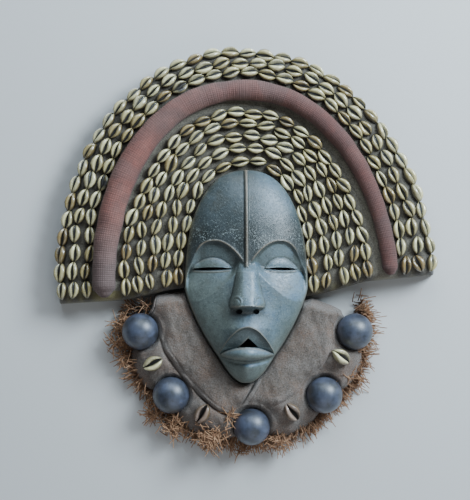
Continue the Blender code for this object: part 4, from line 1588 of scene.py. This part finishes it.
@dataclass(frozen=True)
class CowrieForm:
    """One cowrie that lies on its back, with its slit upwards and its long way along X."""

    length: float = 0.0210
    width: float = 0.0138
    height: float = 0.0080
    usual_width: float = 0.0133
    segments: int = 12
    rings: int = 7
    bent: tuple = (0.0, 8.5, 19.0, 40.0, 72.0, 114.0, 180.0)
    teeth: float = 0.0
    tooth_pitch: float = 0.0017

    def mesh(self, kind: ShellKind) -> Mesh:
        """Return the shell's mesh, resting on the plane z = 0.

        Args:
            kind: Whole, or with its front broken open.

        Returns:
            A new mesh with its UV map, its painted shadow in the slit, painted shade beside the slit and on its
            flanks, and painted shade round its foot.
        """
        bm = bmesh.new()
        bm.loops.layers.uv.new("shell")
        bmesh.ops.create_uvsphere(
            bm, u_segments=self.segments, v_segments=self.rings, radius=1.0, calc_uvs=True
        )
        mesh = finish_mesh(bm, f"cowrie_{kind.value}", outwards=False)
        ball = read_points(mesh)
        along = np.clip(ball[:, 2], -1.0, 1.0)
        turn = np.degrees(np.arctan2(ball[:, 1], ball[:, 0]))
        even = np.linspace(0.0, 180.0, len(self.bent))
        around = np.radians(np.sign(turn) * np.interp(np.abs(turn), even, self.bent))
        away = np.abs(around)
        gape = 0.55 + 0.75 * ramp(-0.8, 0.45, along)
        girth = clamp(1.0 - np.abs(along) ** 1.80) ** 0.70
        half = self.width / 2.0 * girth * (1.0 + 0.10 * along)
        top = self.height * clamp(1.0 - np.abs(along) ** 2.6) ** 0.5
        lift = np.interp(np.degrees(away), self.bent, self.profile(kind))
        near_slit = ramp(1.2, 0.2, away)
        bend = (0.00045 * np.sin(math.pi * along) + 0.0004) * near_slit * (self.width / self.usual_width)
        # Painted shadow in the slit; a broken shell's hole gets it too.
        opening_shadow = ramp(0.40, 0.15, away) * ramp(0.02, 0.25, girth)
        if kind is ShellKind.BROKEN:
            hole = ramp(1.0, 0.6, np.abs(around + 0.3)) * ramp(0.8, 0.5, np.abs(along))
            opening_shadow = np.maximum(opening_shadow, hole)
        ribs = self.teeth * np.sin(along * self.length * math.tau / self.tooth_pitch)
        ribs = ribs * ramp(0.75, 0.25, away) * ramp(0.0, 0.5, girth)
        x = along * self.length / 2.0
        spread = 1.0 + (gape - 1.0) * ramp(0.70, 0.34, away)
        y = half * np.sin(around * spread) + bend
        write_points(mesh, np.stack((x, y, top * lift + ribs), axis=1))
        # Painted shade on the lobe on one side of the slit.
        lip = ramp(1.10, 0.35, away) * np.where(around > 0.0, 0.75, 0.0)
        ends = ramp(0.72, 0.98, np.abs(along))
        # Painted shade round the foot and at the tips.
        foot = ramp(0.45, 0.12, lift) * (away > 0.6)
        # Painted shade on the flanks, which slope down to the cloth.
        flank_shade = ramp(0.45, 1.12, away) * np.where(around > 0.0, 0.85, 1.0)
        paint(mesh, "opening_shadow", opening_shadow)
        paint(mesh, "lip", lip * ramp(0.0, 0.5, girth))
        paint(mesh, "flank_shade", clamp(np.maximum(flank_shade, 0.8 * ends)))
        paint(mesh, "foot", clamp(foot + 0.35 * ends))
        return mesh

    @staticmethod
    def profile(kind: ShellKind) -> tuple:
        """Return the heights round the shell, from its slit to its foot, as shares of its height."""
        if kind is ShellKind.BROKEN:
            return (0.30, 0.36, 0.62, 0.95, 0.74, 0.24, 0.0)
        return (0.34, 0.56, 0.90, 1.0, 0.72, 0.22, 0.0)


@dataclass(frozen=True)
class CowrieStrand:
    """One row of small shells sewn end to end along the fan."""

    number: int
    place: tuple
    pitch: float = 0.0200
    slim: float = 1.0
    broken_near: tuple = ()
    form: FanForm = FanForm()
    trim: float = 0.0030
    lift: float = 0.0002
    upright: float = 0.9

    def build(self, finish: Material, shapes: dict[ShellKind, Mesh]) -> None:
        """Build the strand from one shape per kind of shell.

        Args:
            finish: The shell finish.
            shapes: A mesh for each kind of shell.
        """
        length = self.form.turns(self.place, self.trim, 2)[1]
        count = round(length / self.pitch)
        turns = self.form.turns(self.place, self.trim, 2 * count)[0][1::2]
        rows = self.form.frames(self.place, turns)
        normals = unit(rows.normal + np.array((0.0, 0.0, self.upright)))
        sides = unit(np.cross(rows.ahead, normals))
        normals = unit(np.cross(sides, rows.ahead))
        flip = np.sign(normals[:, 2:])
        chance = np.random.default_rng(100 + self.number)
        broken = {int(np.argmin(np.hypot(*(rows.point[:, :2] - spot).T))) for spot in self.broken_near}
        bm = bmesh.new()
        tint = bm.verts.layers.float.new("tint")
        for k in range(count):
            kind = ShellKind.BROKEN if k in broken else ShellKind.WHOLE
            start = len(bm.verts)
            bm.from_mesh(shapes[kind])
            bm.verts.ensure_lookup_table()
            verts = bm.verts[start:]
            up = normals[k] * flip[k]
            axes = Matrix((rows.ahead[k], np.cross(up, rows.ahead[k]), up)).transposed().to_4x4()
            drift = sides[k] * chance.normal(0.0, 0.0007)
            spot = Matrix.Translation(rows.point[k] + up * self.lift + drift)
            swing = Matrix.Rotation(chance.normal(0.0, 0.13) + math.pi * chance.integers(0, 2), 4, "Z")
            roll = Matrix.Rotation(chance.normal(0.0, 0.16), 4, "X")
            size = chance.normal(1.0, 0.045)
            grown = Matrix.Diagonal((size, size * self.slim * chance.normal(1.0, 0.06), size, 1.0))
            bmesh.ops.transform(bm, matrix=spot @ axes @ swing @ roll @ grown, verts=verts)
            brown = 0.55 if self.number > OUTER_ROWS else 0.30
            low = float(ramp(0.030, -0.035, rows.point[k][1])) * brown
            shade = float(clamp(chance.beta(0.8, 1.5) + low))
            for vert in verts:
                vert[tint] = shade
        mesh = finish_mesh(bm, f"shell_strand_{self.number}")
        place_piece(mesh, Slot.SHELL, (finish,), f"cowrie_strand_{self.number}")


@dataclass(frozen=True)
class CollarForm:
    """The front surface of the padded collar, in directions round its own centre."""

    outline: FaceOutline = FaceOutline()
    fan: FanForm = FanForm()
    centre: tuple = (0.0005, -0.076)
    radius: float = 0.1375
    ball_radius: float = 0.1250
    end_radius: float = 0.106
    clearance: float = 0.0008
    top_gap: float = 0.002
    seam_turns: tuple = (
        150.0, 177.0, 186.0, 194.0, 202.0, 210.0, 224.0, 232.0, 242.0, 254.0, 261.0, 275.0, 300.0, 345.0, 385.0,
    )
    seam_radii: tuple = (
        0.108, 0.108, 0.0996, 0.0987, 0.0984, 0.0962, 0.0965, 0.0975, 0.1018, 0.1070, 0.1080, 0.1020, 0.0970,
        0.0975, 0.0990,
    )
    hem_scale: float = 0.060
    flap_place: tuple = (0.0033, -0.1562)
    flap_lean: tuple = (0.86, 0.51)
    ball: float = 0.020
    ball_circle: float = 0.119
    ball_height: float = 0.0245
    ball_turns: tuple = (187.0, 225.0, 272.0, 315.0, 353.0)

    def around(self, radius: float | Array, degrees: float | Array) -> tuple[Array, Array]:
        """Return x and y of a place given by radius and direction."""
        turn = np.radians(degrees)
        return self.centre[0] + radius * np.cos(turn), self.centre[1] + radius * np.sin(turn)

    def near(self, degrees: Array) -> Array:
        """Return the radius of the inner edge, beside the face."""
        return self.outline.reach(self.centre, np.radians(degrees)) + self.clearance

    def outer(self, degrees: Array) -> Array:
        """Work out the scalloped outer edge.

        Args:
            degrees: Directions from the centre.

        Returns:
            One radius for each direction.
        """
        full = ramp(172.0, 196.0, degrees) * ramp(365.0, 345.0, degrees)
        radius = self.end_radius + (self.radius - self.end_radius) * full
        for turn in self.ball_turns:
            radius = radius - (self.radius - self.ball_radius) * bump_at(degrees, turn, 9.0) * full
        return radius

    def seam(self, degrees: Array) -> Array:
        """Return how far out the sewn line lies, as a share from the inner to the outer edge."""
        near, far = self.near(degrees), self.outer(degrees)
        line = np.interp(degrees, self.seam_turns, self.seam_radii)
        return np.clip((line - near) / (far - near), 0.3, 0.93)

    def hem(self, out: Array, degrees: Array) -> Array:
        """Return roughly how many metres places lie outside the sewn line."""
        return (out - self.seam(degrees)) * self.hem_scale

    def left(self, degrees: Array) -> Array:
        """Return 1 on the collar's left half and 0 on its right one."""
        return ramp(276.0, 262.0, degrees)

    def under_fan(self, radius: float, degrees: Array) -> Array:
        """Find whether places lie under the fan or too close to it.

        Args:
            radius: Distance from the collar's centre.
            degrees: Directions of the places.

        Returns:
            True or False for each direction.
        """
        x, y = self.around(radius, degrees)
        x, y = x - self.fan.centre[0], y - self.fan.centre[1]
        away = np.hypot(x, y)
        turn = np.arctan2(y, x) - self.fan.tilt
        turn = np.where(turn < -math.pi / 2.0, turn + math.tau, turn)
        near, far = self.fan.inner(turn), self.fan.outer(turn)
        first, last = self.fan.feet((away - near) / (far - near))
        margin = self.top_gap / away
        return (first - margin < turn) & (turn < last + margin)

    @lru_cache(maxsize=None)
    def ends(self) -> tuple[Array, Array, Array]:
        """Find where the collar ends below the fan.

        Returns:
            Shares of the way out, and the first and last direction at each.
        """
        shares = np.linspace(0.0, 1.0, 33)
        starts, stops = [], []
        steps = 0.25 * np.arange(200)
        for out in shares:
            start, stop = 155.0 + 11.0 * out, 381.5 - 16.5 * out
            near = float(self.near(np.array([start]))[0])
            radius = near + (self.end_radius - near) * out
            starts.append(start + steps[np.argmin(self.under_fan(radius, start + steps))])
            stops.append(stop - steps[np.argmin(self.under_fan(radius, stop - steps))])
        return shares, np.array(starts), np.array(stops)

    def span(self, out: Array) -> tuple[Array, Array]:
        """Return the first and last direction at shares of the way out."""
        shares, starts, stops = self.ends()
        return np.interp(out, shares, starts), np.interp(out, shares, stops)

    def place(self, along: Array, out: Array) -> tuple[Array, Array, Array]:
        """Find places on the collar.

        Args:
            along: Shares from the left end round the chin to the right end.
            out: Shares from the face to the outer edge.

        Returns:
            X, y and direction.
        """
        start, stop = self.span(out)
        degrees = start + (stop - start) * along
        near, far = self.near(degrees), self.outer(degrees)
        x, y = self.around(near + (far - near) * out, degrees)
        return x, y, degrees

    def point(self, along: Array, out: Array) -> Array:
        """Return points of the collar's front as rows of x, y, z.

        Args:
            along: Shares from the left end round the chin to the right end.
            out: Shares from the face to the outer edge.

        Returns:
            Rows of x, y, z.
        """
        x, y, degrees = self.place(along, out)
        return np.stack((x, y, self.height(x, y, along, out, degrees)), axis=-1)

    def flap(self, x: Array, y: Array) -> tuple[Array, Array]:
        """Return the distance right of the right half's lapped edge below the chin, and where it runs."""
        over, up, (wide, tall) = x - self.flap_place[0], y - self.flap_place[1], self.flap_lean
        return over * wide - up * tall, ramp(0.0195, 0.0140, np.abs(over * tall + up * wide))

    def height(self, x: Array, y: Array, along: Array, out: Array, degrees: Array) -> Array:
        """Work out a broad roll beside the face, a sewn hem, then cushions between the balls.

        Args:
            x: Distance to the right.
            y: Distance upwards.
            along: Shares from the left end to the right end.
            out: Shares from the face to the outer edge.
            degrees: Directions of the points.

        Returns:
            Heights above the floor.
        """
        seam = self.seam(degrees)
        left = self.left(degrees)
        in_roll = clamp(out / seam)
        in_lobe = clamp((out - seam) / (1.0 - seam))
        pillow_roll = (1.0 - np.abs(2.0 * in_roll - 1.0) ** 3.2) ** 0.46
        pillow_lobe = (1.0 - np.abs(2.0 * in_lobe - 1.0) ** 2.6) ** 0.55
        level = np.where(out < seam, 0.0245 - 0.0015 * in_roll, 0.0230 - 0.0160 * in_lobe**2)
        rise = (0.0100 + 0.0015 * left) * pillow_roll + 0.0100 * pillow_lobe
        rise = rise + (0.0098 * (1.0 - left) + 0.0035 * left) * bump_at(out, seam, 0.11)
        ends = ramp(0.0, 0.040, np.minimum(along, 1.0 - along))
        height = level * (0.55 + 0.45 * ends**0.5) + rise * ends**0.6
        hem = self.hem(out, degrees)
        sewn = left * ramp(0.02, 0.10, along)
        height = height - sewn * (0.0010 * bump_at(hem, 0.0, 0.0009) + 0.0006 * bump_at(hem, -0.0042, 0.0008))
        right, runs = self.flap(x, y)
        band = ramp(-0.0008, 0.0004, right) * ramp(0.0070, 0.0030, right)
        stitches = 0.0030 * bump_at(right, -0.0008, 0.0011) + 0.0007 * bump_at(right, 0.0047, 0.0008)
        height = height + runs * (0.0014 * band - stitches)
        valley = bump_at(degrees + 90.0 * (out - 0.5), 336.0, 9.0)
        height = height - 0.0012 * valley * (1.0 - left) * ramp(0.1, 0.5, out)
        for turn in self.ball_turns:
            ball_x, ball_y = self.around(self.ball_circle, turn)
            away = np.hypot(x - ball_x, y - ball_y)
            brim = self.ball_height - 0.0015 + 0.0020 * bump_at(away, self.ball + 0.0045, 0.0022)
            height = soft_min(height, brim + np.maximum(away - self.ball, 0.0) * 0.95, 0.006)
            low = self.ball_height - np.sqrt(np.clip(self.ball**2 - away**2, 0.0, None)) - 0.0003
            height = np.where(away < self.ball, np.minimum(height, np.maximum(low, 0.0025)), height)
        folds = unevenness(x, y, 0.026, 31) * 0.0009 + unevenness(x, y, 0.009, 32) * 0.00030
        return height + folds * ends * ramp(0.0, 0.08, np.minimum(out, 1.0 - out))


@dataclass(frozen=True)
class Collar:
    """The padded cloth collar."""

    form: CollarForm = CollarForm()
    columns: int = 96
    rows: int = 400

    def build(self, finish: Material) -> None:
        """Build the collar and dress it.

        Args:
            finish: The cloth's finish.
        """
        form = self.form
        mesh = grid_mesh("padded_collar", self.columns, self.rows)
        flat = read_points(mesh)
        cell, along = flat[:, 0], flat[:, 1]
        share = form.seam(form.place(along, 0.5 + 0.0 * cell)[2])
        out = np.where(cell < 0.6, cell / 0.6 * share, share + (cell - 0.6) / 0.4 * (1.0 - share))
        placed = form.point(along, out)
        write_points(mesh, placed)
        x, y, degrees = form.place(along, out)
        hem = form.hem(out, degrees)
        left = form.left(degrees) * ramp(0.0, 0.08, along)
        right, runs = form.flap(x, y)
        lines = left * (0.55 * bump_at(hem, 0.0003, 0.0009) + 0.35 * bump_at(hem, -0.0042, 0.0007))
        lines = lines + runs * (bump_at(right, -0.0008, 0.0010) + 0.45 * bump_at(right, 0.0047, 0.0007))
        # Painted shade, in the seam share, round each ball where it sinks into the cloth.
        for turn in form.ball_turns:
            ball_x, ball_y = form.around(form.ball_circle, turn)
            from_rim = np.abs(np.hypot(x - ball_x, y - ball_y) - form.ball)
            lines = lines + 0.7 * ramp(0.0042, 0.0008, from_rim)
        band = left * ramp(-0.0044, -0.0034, hem) * ramp(-0.0004, -0.0012, hem)
        band = band + runs * ramp(0.0004, 0.0012, right) * ramp(0.0046, 0.0036, right)
        # Painted highlight on a lower-left lobe.
        lobe = bump_at(degrees, 233.0, 13.0) * ramp(0.0, 0.006, hem)
        # Painted highlight on the highest crests.
        crest = ramp(0.034, 0.040, placed[:, 2])
        rubbed = clamp(0.6 * band + 0.5 * crest + 0.45 * lobe)
        count = len(flat)
        close_to_floor(mesh)
        for name, values in (("seam", lines), ("rubbed", rubbed)):
            whole = np.zeros(len(mesh.vertices))
            whole[:count] = clamp(values)
            paint(mesh, name, whole)
        paint(mesh, "second", np.zeros(len(mesh.vertices)))
        place_piece(mesh, Slot.COLLAR_CLOTH, (finish,), "collar", fill=0.8)


@dataclass(frozen=True)
class CollarBalls:
    """Five turned balls in the collar's sockets."""

    form: CollarForm = CollarForm()

    def build(self, finish: Material) -> None:
        """Build the balls and dress them.

        Args:
            finish: The balls' finish.
        """
        for number, degrees in enumerate(self.form.ball_turns, 1):
            x, y = self.form.around(self.form.ball_circle, degrees)
            bm = bmesh.new()
            bmesh.ops.create_uvsphere(bm, u_segments=48, v_segments=32, radius=self.form.ball)
            bmesh.ops.rotate(bm, verts=bm.verts, matrix=Matrix.Rotation(0.9 * number, 3, "X"))
            bmesh.ops.translate(bm, verts=bm.verts, vec=(float(x), float(y), self.form.ball_height))
            mesh = finish_mesh(bm, f"wooden_ball_{number}", outwards=False)
            place_piece(mesh, Slot.BALL, (finish,), f"ball_{number}")


@dataclass(frozen=True)
class CollarCowries:
    """Four larger shells sewn on the collar's cushions."""

    form: CollarForm = CollarForm()
    shape: CowrieForm = CowrieForm(
        length=0.0242, width=0.0162, height=0.0088, segments=36, rings=22, teeth=0.00020
    )
    places: tuple = (
        (0.1150, 205.3, 25.0),
        (0.1150, 244.2, 58.0),
        (0.1120, 294.8, -52.0),
        (0.1090, 336.8, -30.0),
    )
    tints: tuple = (0.10, 0.30, 0.20, 0.05)

    def build(self, finishes: Sequence[Material]) -> None:
        """Build the shells and dress them.

        Args:
            finishes: One finish for each shell.
        """
        form = self.form
        sewn = enumerate(zip(self.places, self.tints, finishes), 1)
        for number, ((radius, degrees, lean), tint, finish) in sewn:
            mesh = self.shape.mesh(ShellKind.WHOLE)
            mesh.name = f"collar_shell_{number}"
            near = float(form.near(np.array([degrees]))[0])
            out = (radius - near) / (float(form.outer(np.array(degrees))) - near)
            start, stop = form.span(out)
            along = (degrees - start) / (stop - start)
            step = 0.04
            spots = form.point(np.array([along, along + step, along]), np.array([out, out, out + step * 2.0]))
            normal = Vector(np.cross(spots[1] - spots[0], spots[2] - spots[0])).normalized()
            normal = normal if normal.z > 0.0 else -normal
            normal = (normal + Vector((0.0, 0.0, 0.8))).normalized()
            ahead = Vector((math.cos(math.radians(lean)), math.sin(math.radians(lean)), 0.0))
            side = normal.cross(ahead).normalized()
            axes = Matrix((side.cross(normal), side, normal)).transposed().to_4x4()
            spot = Matrix.Translation(Vector(spots[0]) - normal * 0.0004)
            mesh.transform(spot @ axes)
            paint(mesh, "tint", np.full(len(mesh.vertices), tint))
            place_piece(mesh, Slot.SHELL, (finish,), f"collar_cowrie_{number}")


@dataclass(frozen=True)
class RaffiaFringe:
    """Loose dry fibres that stick out from behind the collar, with tufts over its lower front."""

    form: CollarForm = CollarForm()
    combs: int = 300
    fibres: int = 6
    thickness: float = 0.00066
    tufts: tuple = (
        (-0.040, -0.205, 0.0150, 0.014, 0.037, 170),
        (-0.020, -0.183, 0.0060, 0.020, 0.034, 40),
        (-0.080, -0.196, 0.0120, 0.006, 0.026, 110),
        (0.034, -0.211, 0.0110, 0.004, 0.026, 95),
        (-0.004, -0.221, 0.0050, 0.003, 0.012, 30),
        (0.122, -0.110, 0.0060, 0.006, 0.022, 40),
        (0.112, -0.140, 0.0060, 0.006, 0.022, 40),
        (-0.139, -0.084, 0.0085, 0.003, 0.022, 60),
        (-0.143, -0.102, 0.0080, 0.003, 0.020, 50),
        (-0.136, -0.122, 0.0070, 0.004, 0.020, 35),
        (-0.104, -0.182, 0.0080, 0.004, 0.022, 60),
        (-0.113, -0.064, 0.0050, 0.006, 0.018, 36),
    )

    def spline(self, curve: bpy.types.Curve, points: Array, shade: int) -> None:
        """Add one fibre, thinner at its tip.

        Args:
            curve: Where the fibre goes.
            points: Rows of x, y, z along it.
            shade: Which of the finishes it has.
        """
        made = curve.splines.new("POLY")
        made.points.add(len(points) - 1)
        made.points.foreach_set("co", np.hstack((points, np.ones((len(points), 1)))).ravel())
        made.points.foreach_set("radius", np.linspace(1.0, 0.6, len(points)))
        made.material_index = shade

    @staticmethod
    def strand(root: Array, heading: Array, length: float, chance: np.random.Generator) -> Array:
        """Bend one fibre.

        Args:
            root: Where it starts.
            heading: Its direction.
            length: Its length.
            chance: The source of random numbers.

        Returns:
            Rows of x, y, z along it.
        """
        bend = chance.normal(0.0, 0.45, 3)
        steps = np.linspace(0.0, 1.0, 4)[:, None]
        path = root + heading * length * steps + bend * length * 0.35 * steps**2
        path[:, 2] = np.maximum(path[:, 2], 0.0008)
        return path

    def add_combs(self, curve: bpy.types.Curve, chance: np.random.Generator) -> None:
        """Add the fibres round the collar's edge, in small combs that point the same way.

        Args:
            curve: Where the fibres go.
            chance: The source of random numbers.
        """
        for _ in range(self.combs):
            degrees = chance.uniform(172.0, 369.0)
            lean = chance.normal(0.0, 30.0)
            rise = chance.normal(0.12, 0.28)
            low = chance.uniform(0.0015, 0.0120)
            shade = int(chance.choice(3, p=(0.40, 0.22, 0.38)))
            for _ in range(self.fibres):
                at = degrees + chance.normal(0.0, 1.5)
                beside = sum(float(bump_at(at, turn, 11.0)) for turn in self.form.ball_turns)
                reach = max(float(self.form.outer(np.array(at))), 0.1300) + 0.0065 * beside
                x, y = self.form.around(reach + chance.uniform(-0.013, 0.0), at)
                turn = math.radians(at + lean + chance.normal(0.0, 11.0))
                heading = np.array((math.cos(turn), math.sin(turn), rise + chance.normal(0.0, 0.18)))
                root = np.array((float(x), float(y), low + chance.uniform(-0.001, 0.003)))
                path = self.strand(root, unit(heading), chance.uniform(0.007, 0.0180), chance)
                near = shade if chance.random() < 0.7 else int(chance.integers(0, 3))
                self.spline(curve, path, near)

    def add_tufts(self, curve: bpy.types.Curve, chance: np.random.Generator) -> None:
        """Add the tangled tufts that spill over the collar.

        Args:
            curve: Where the fibres go.
            chance: The source of random numbers.
        """
        for x, y, spread, low, high, count in self.tufts:
            for _ in range(count):
                right, up = chance.normal(x, spread * 0.5), chance.normal(y, spread * 0.42)
                place = (right, up, chance.uniform(low, high))
                turn = chance.uniform(0.0, math.tau)
                heading = np.array((math.cos(turn), math.sin(turn), chance.normal(0.10, 0.30)))
                path = self.strand(np.array(place), unit(heading), chance.uniform(0.006, 0.0145), chance)
                self.spline(curve, path, int(chance.choice(3, p=(0.36, 0.16, 0.48))))

    def build(self, finishes: Sequence[Material]) -> None:
        """Build the fringe and dress it.

        Args:
            finishes: The shades of its fibres.
        """
        chance = np.random.default_rng(7)
        curve = bpy.data.curves.new("raffia", "CURVE")
        curve.dimensions = "3D"
        curve.bevel_depth = self.thickness
        curve.bevel_resolution = 0
        self.add_combs(curve, chance)
        self.add_tufts(curve, chance)
        made = bpy.data.objects.new("raffia", curve)
        mesh = bpy.data.meshes.new_from_object(made)
        mesh.name = "raffia_fibres"
        bpy.data.objects.remove(made)
        mesh.materials.clear()
        points = read_points(mesh)
        x, y = points[:, 0] - self.form.centre[0], points[:, 1] - self.form.centre[1]
        degrees = np.degrees(np.arctan2(y, x))
        degrees = np.where(degrees < 90.0, degrees + 360.0, degrees)
        # Painted shade on fibres near the collar's edge and low down.
        beyond = np.hypot(x, y) - np.maximum(self.form.outer(degrees), 0.1275)
        paint(mesh, "root", ramp(0.009, -0.003, beyond) * ramp(0.020, 0.008, points[:, 2]))
        place_piece(mesh, Slot.RAFFIA, finishes, "raffia_fringe")


@dataclass(frozen=True)
class Studio:
    """A pale floor, soft light and the photograph's view of the mask."""

    target: tuple = (-0.0137, -0.0011, 0.030)
    distance: float = 1.6
    from_left: float = math.radians(2.0)
    from_below: float = math.radians(4.0)
    width_seen: float = 0.517
    sensor: float = 36.0
    floor_colour: tuple = (0.62, 0.62, 0.61, 1.0)
    lamps: tuple = (
        ("key", (1.02, 0.80, 1.02), 0.7, 53.0, (0.74, 0.88, 1.0)),
        ("sky", (-0.10, 1.35, 0.95), 1.2, 19.0, (0.74, 0.88, 1.0)),
        ("fill", (0.25, -1.35, 1.0), 2.0, 12.0, (0.88, 0.94, 1.0)),
    )

    def build(self) -> None:
        """Build the floor, the lights and the camera."""
        bm = bmesh.new()
        bmesh.ops.create_grid(bm, x_segments=1, y_segments=1, size=4.0)
        floor = new_object("floor", finish_mesh(bm, "floor", outwards=False))
        paper = bpy.data.materials.new("pale_floor")
        paper.use_nodes = True
        shader = paper.node_tree.nodes["Principled BSDF"]
        shader.inputs["Base Color"].default_value = self.floor_colour
        shader.inputs["Roughness"].default_value = 0.9
        floor.data.materials.append(paper)
        for lamp in self.lamps:
            self.light(*lamp)
        world = bpy.data.worlds.new("studio")
        world.use_nodes = True
        background = world.node_tree.nodes["Background"]
        background.inputs["Color"].default_value = (0.86, 0.90, 0.96, 1.0)
        background.inputs["Strength"].default_value = 0.10
        bpy.context.scene.world = world
        self.camera()

    def light(self, name: str, place: tuple, size: float, power: float, colour: tuple) -> None:
        """Hang one square soft light that faces the mask.

        Args:
            name: Its name.
            place: Where it hangs.
            size: Length of its side.
            power: Its power in watts.
            colour: Its colour.
        """
        lamp = bpy.data.lights.new(name, "AREA")
        lamp.size = size
        lamp.energy = power
        lamp.color = colour
        made = new_object(name, lamp)
        aim = Vector(self.target) - Vector(place)
        made.location = place
        made.rotation_euler = aim.to_track_quat("-Z", "Y").to_euler()

    def camera(self) -> None:
        """Set up the camera."""
        lens = bpy.data.cameras.new("camera")
        lens.sensor_fit = "HORIZONTAL"
        lens.sensor_width = self.sensor
        lens.lens = self.sensor * self.distance / self.width_seen
        made = new_object("camera", lens)
        back = Vector((-math.sin(self.from_left), -math.sin(self.from_below), 1.0)).normalized()
        up = Vector((0.0, 1.0, 0.0))
        right = up.cross(back).normalized()
        up = back.cross(right)
        turn = Matrix((right, up, back)).transposed().to_4x4()
        made.matrix_world = Matrix.Translation(Vector(self.target) + back * self.distance) @ turn
        bpy.context.scene.camera = made


def main() -> None:
    """Build every piece and the studio."""
    effects = Effects()
    shell = ShellFinish("cowrie_shell", coat=1.0, coat_roughness=0.20, specular=0.9).make(effects)
    CarvedFace().build(CarvedWoodFinish("carved_wood", coat=0.20, coat_roughness=0.35).make(effects))
    FanCloth().build(FeltFinish("fan_cloth", sheen=0.25).make(effects))
    ClothRoll().build(RollFinish("red_cloth", sheen=0.08).make(effects))
    small = CowrieForm()
    shapes = {kind: small.mesh(kind) for kind in ShellKind}
    for number, (place, pitch, slim) in enumerate(STRANDS, 1):
        broken = BROKEN_SHELLS if number == BROKEN_ROW else ()
        CowrieStrand(number, place, pitch, slim, broken).build(shell, shapes)
    collar_cloth = FeltFinish(
        "collar_cloth", sheen=0.25, base=(0.129, 0.096, 0.073), light=(0.230, 0.203, 0.182), rusty=0.75
    )
    Collar().build(collar_cloth.make(effects))
    CollarBalls().build(BallFinish("ball_wood", coat=0.9, coat_roughness=0.40).make(effects))
    worn = ShellFinish(
        "old_shell", coat=0.4, ivory=(0.40, 0.30, 0.24), yellow=(0.30, 0.20, 0.14), grey=(0.10, 0.075, 0.06)
    )
    CollarCowries().build((shell, worn.make(effects), worn.make(effects), shell))
    shades = (
        RaffiaFinish("raffia_rust", colour=(0.21, 0.095, 0.045), tip=(0.48, 0.29, 0.165)),
        RaffiaFinish("raffia_dark", colour=(0.045, 0.020, 0.012), tip=(0.15, 0.068, 0.036)),
        RaffiaFinish("raffia_light", colour=(0.50, 0.35, 0.21), tip=(0.85, 0.70, 0.50)),
    )
    RaffiaFringe().build([shade.make(effects) for shade in shades])
    Studio().build()


if __name__ == "__main__":
    logging.basicConfig(level=logging.INFO, format="%(message)s")
    main()
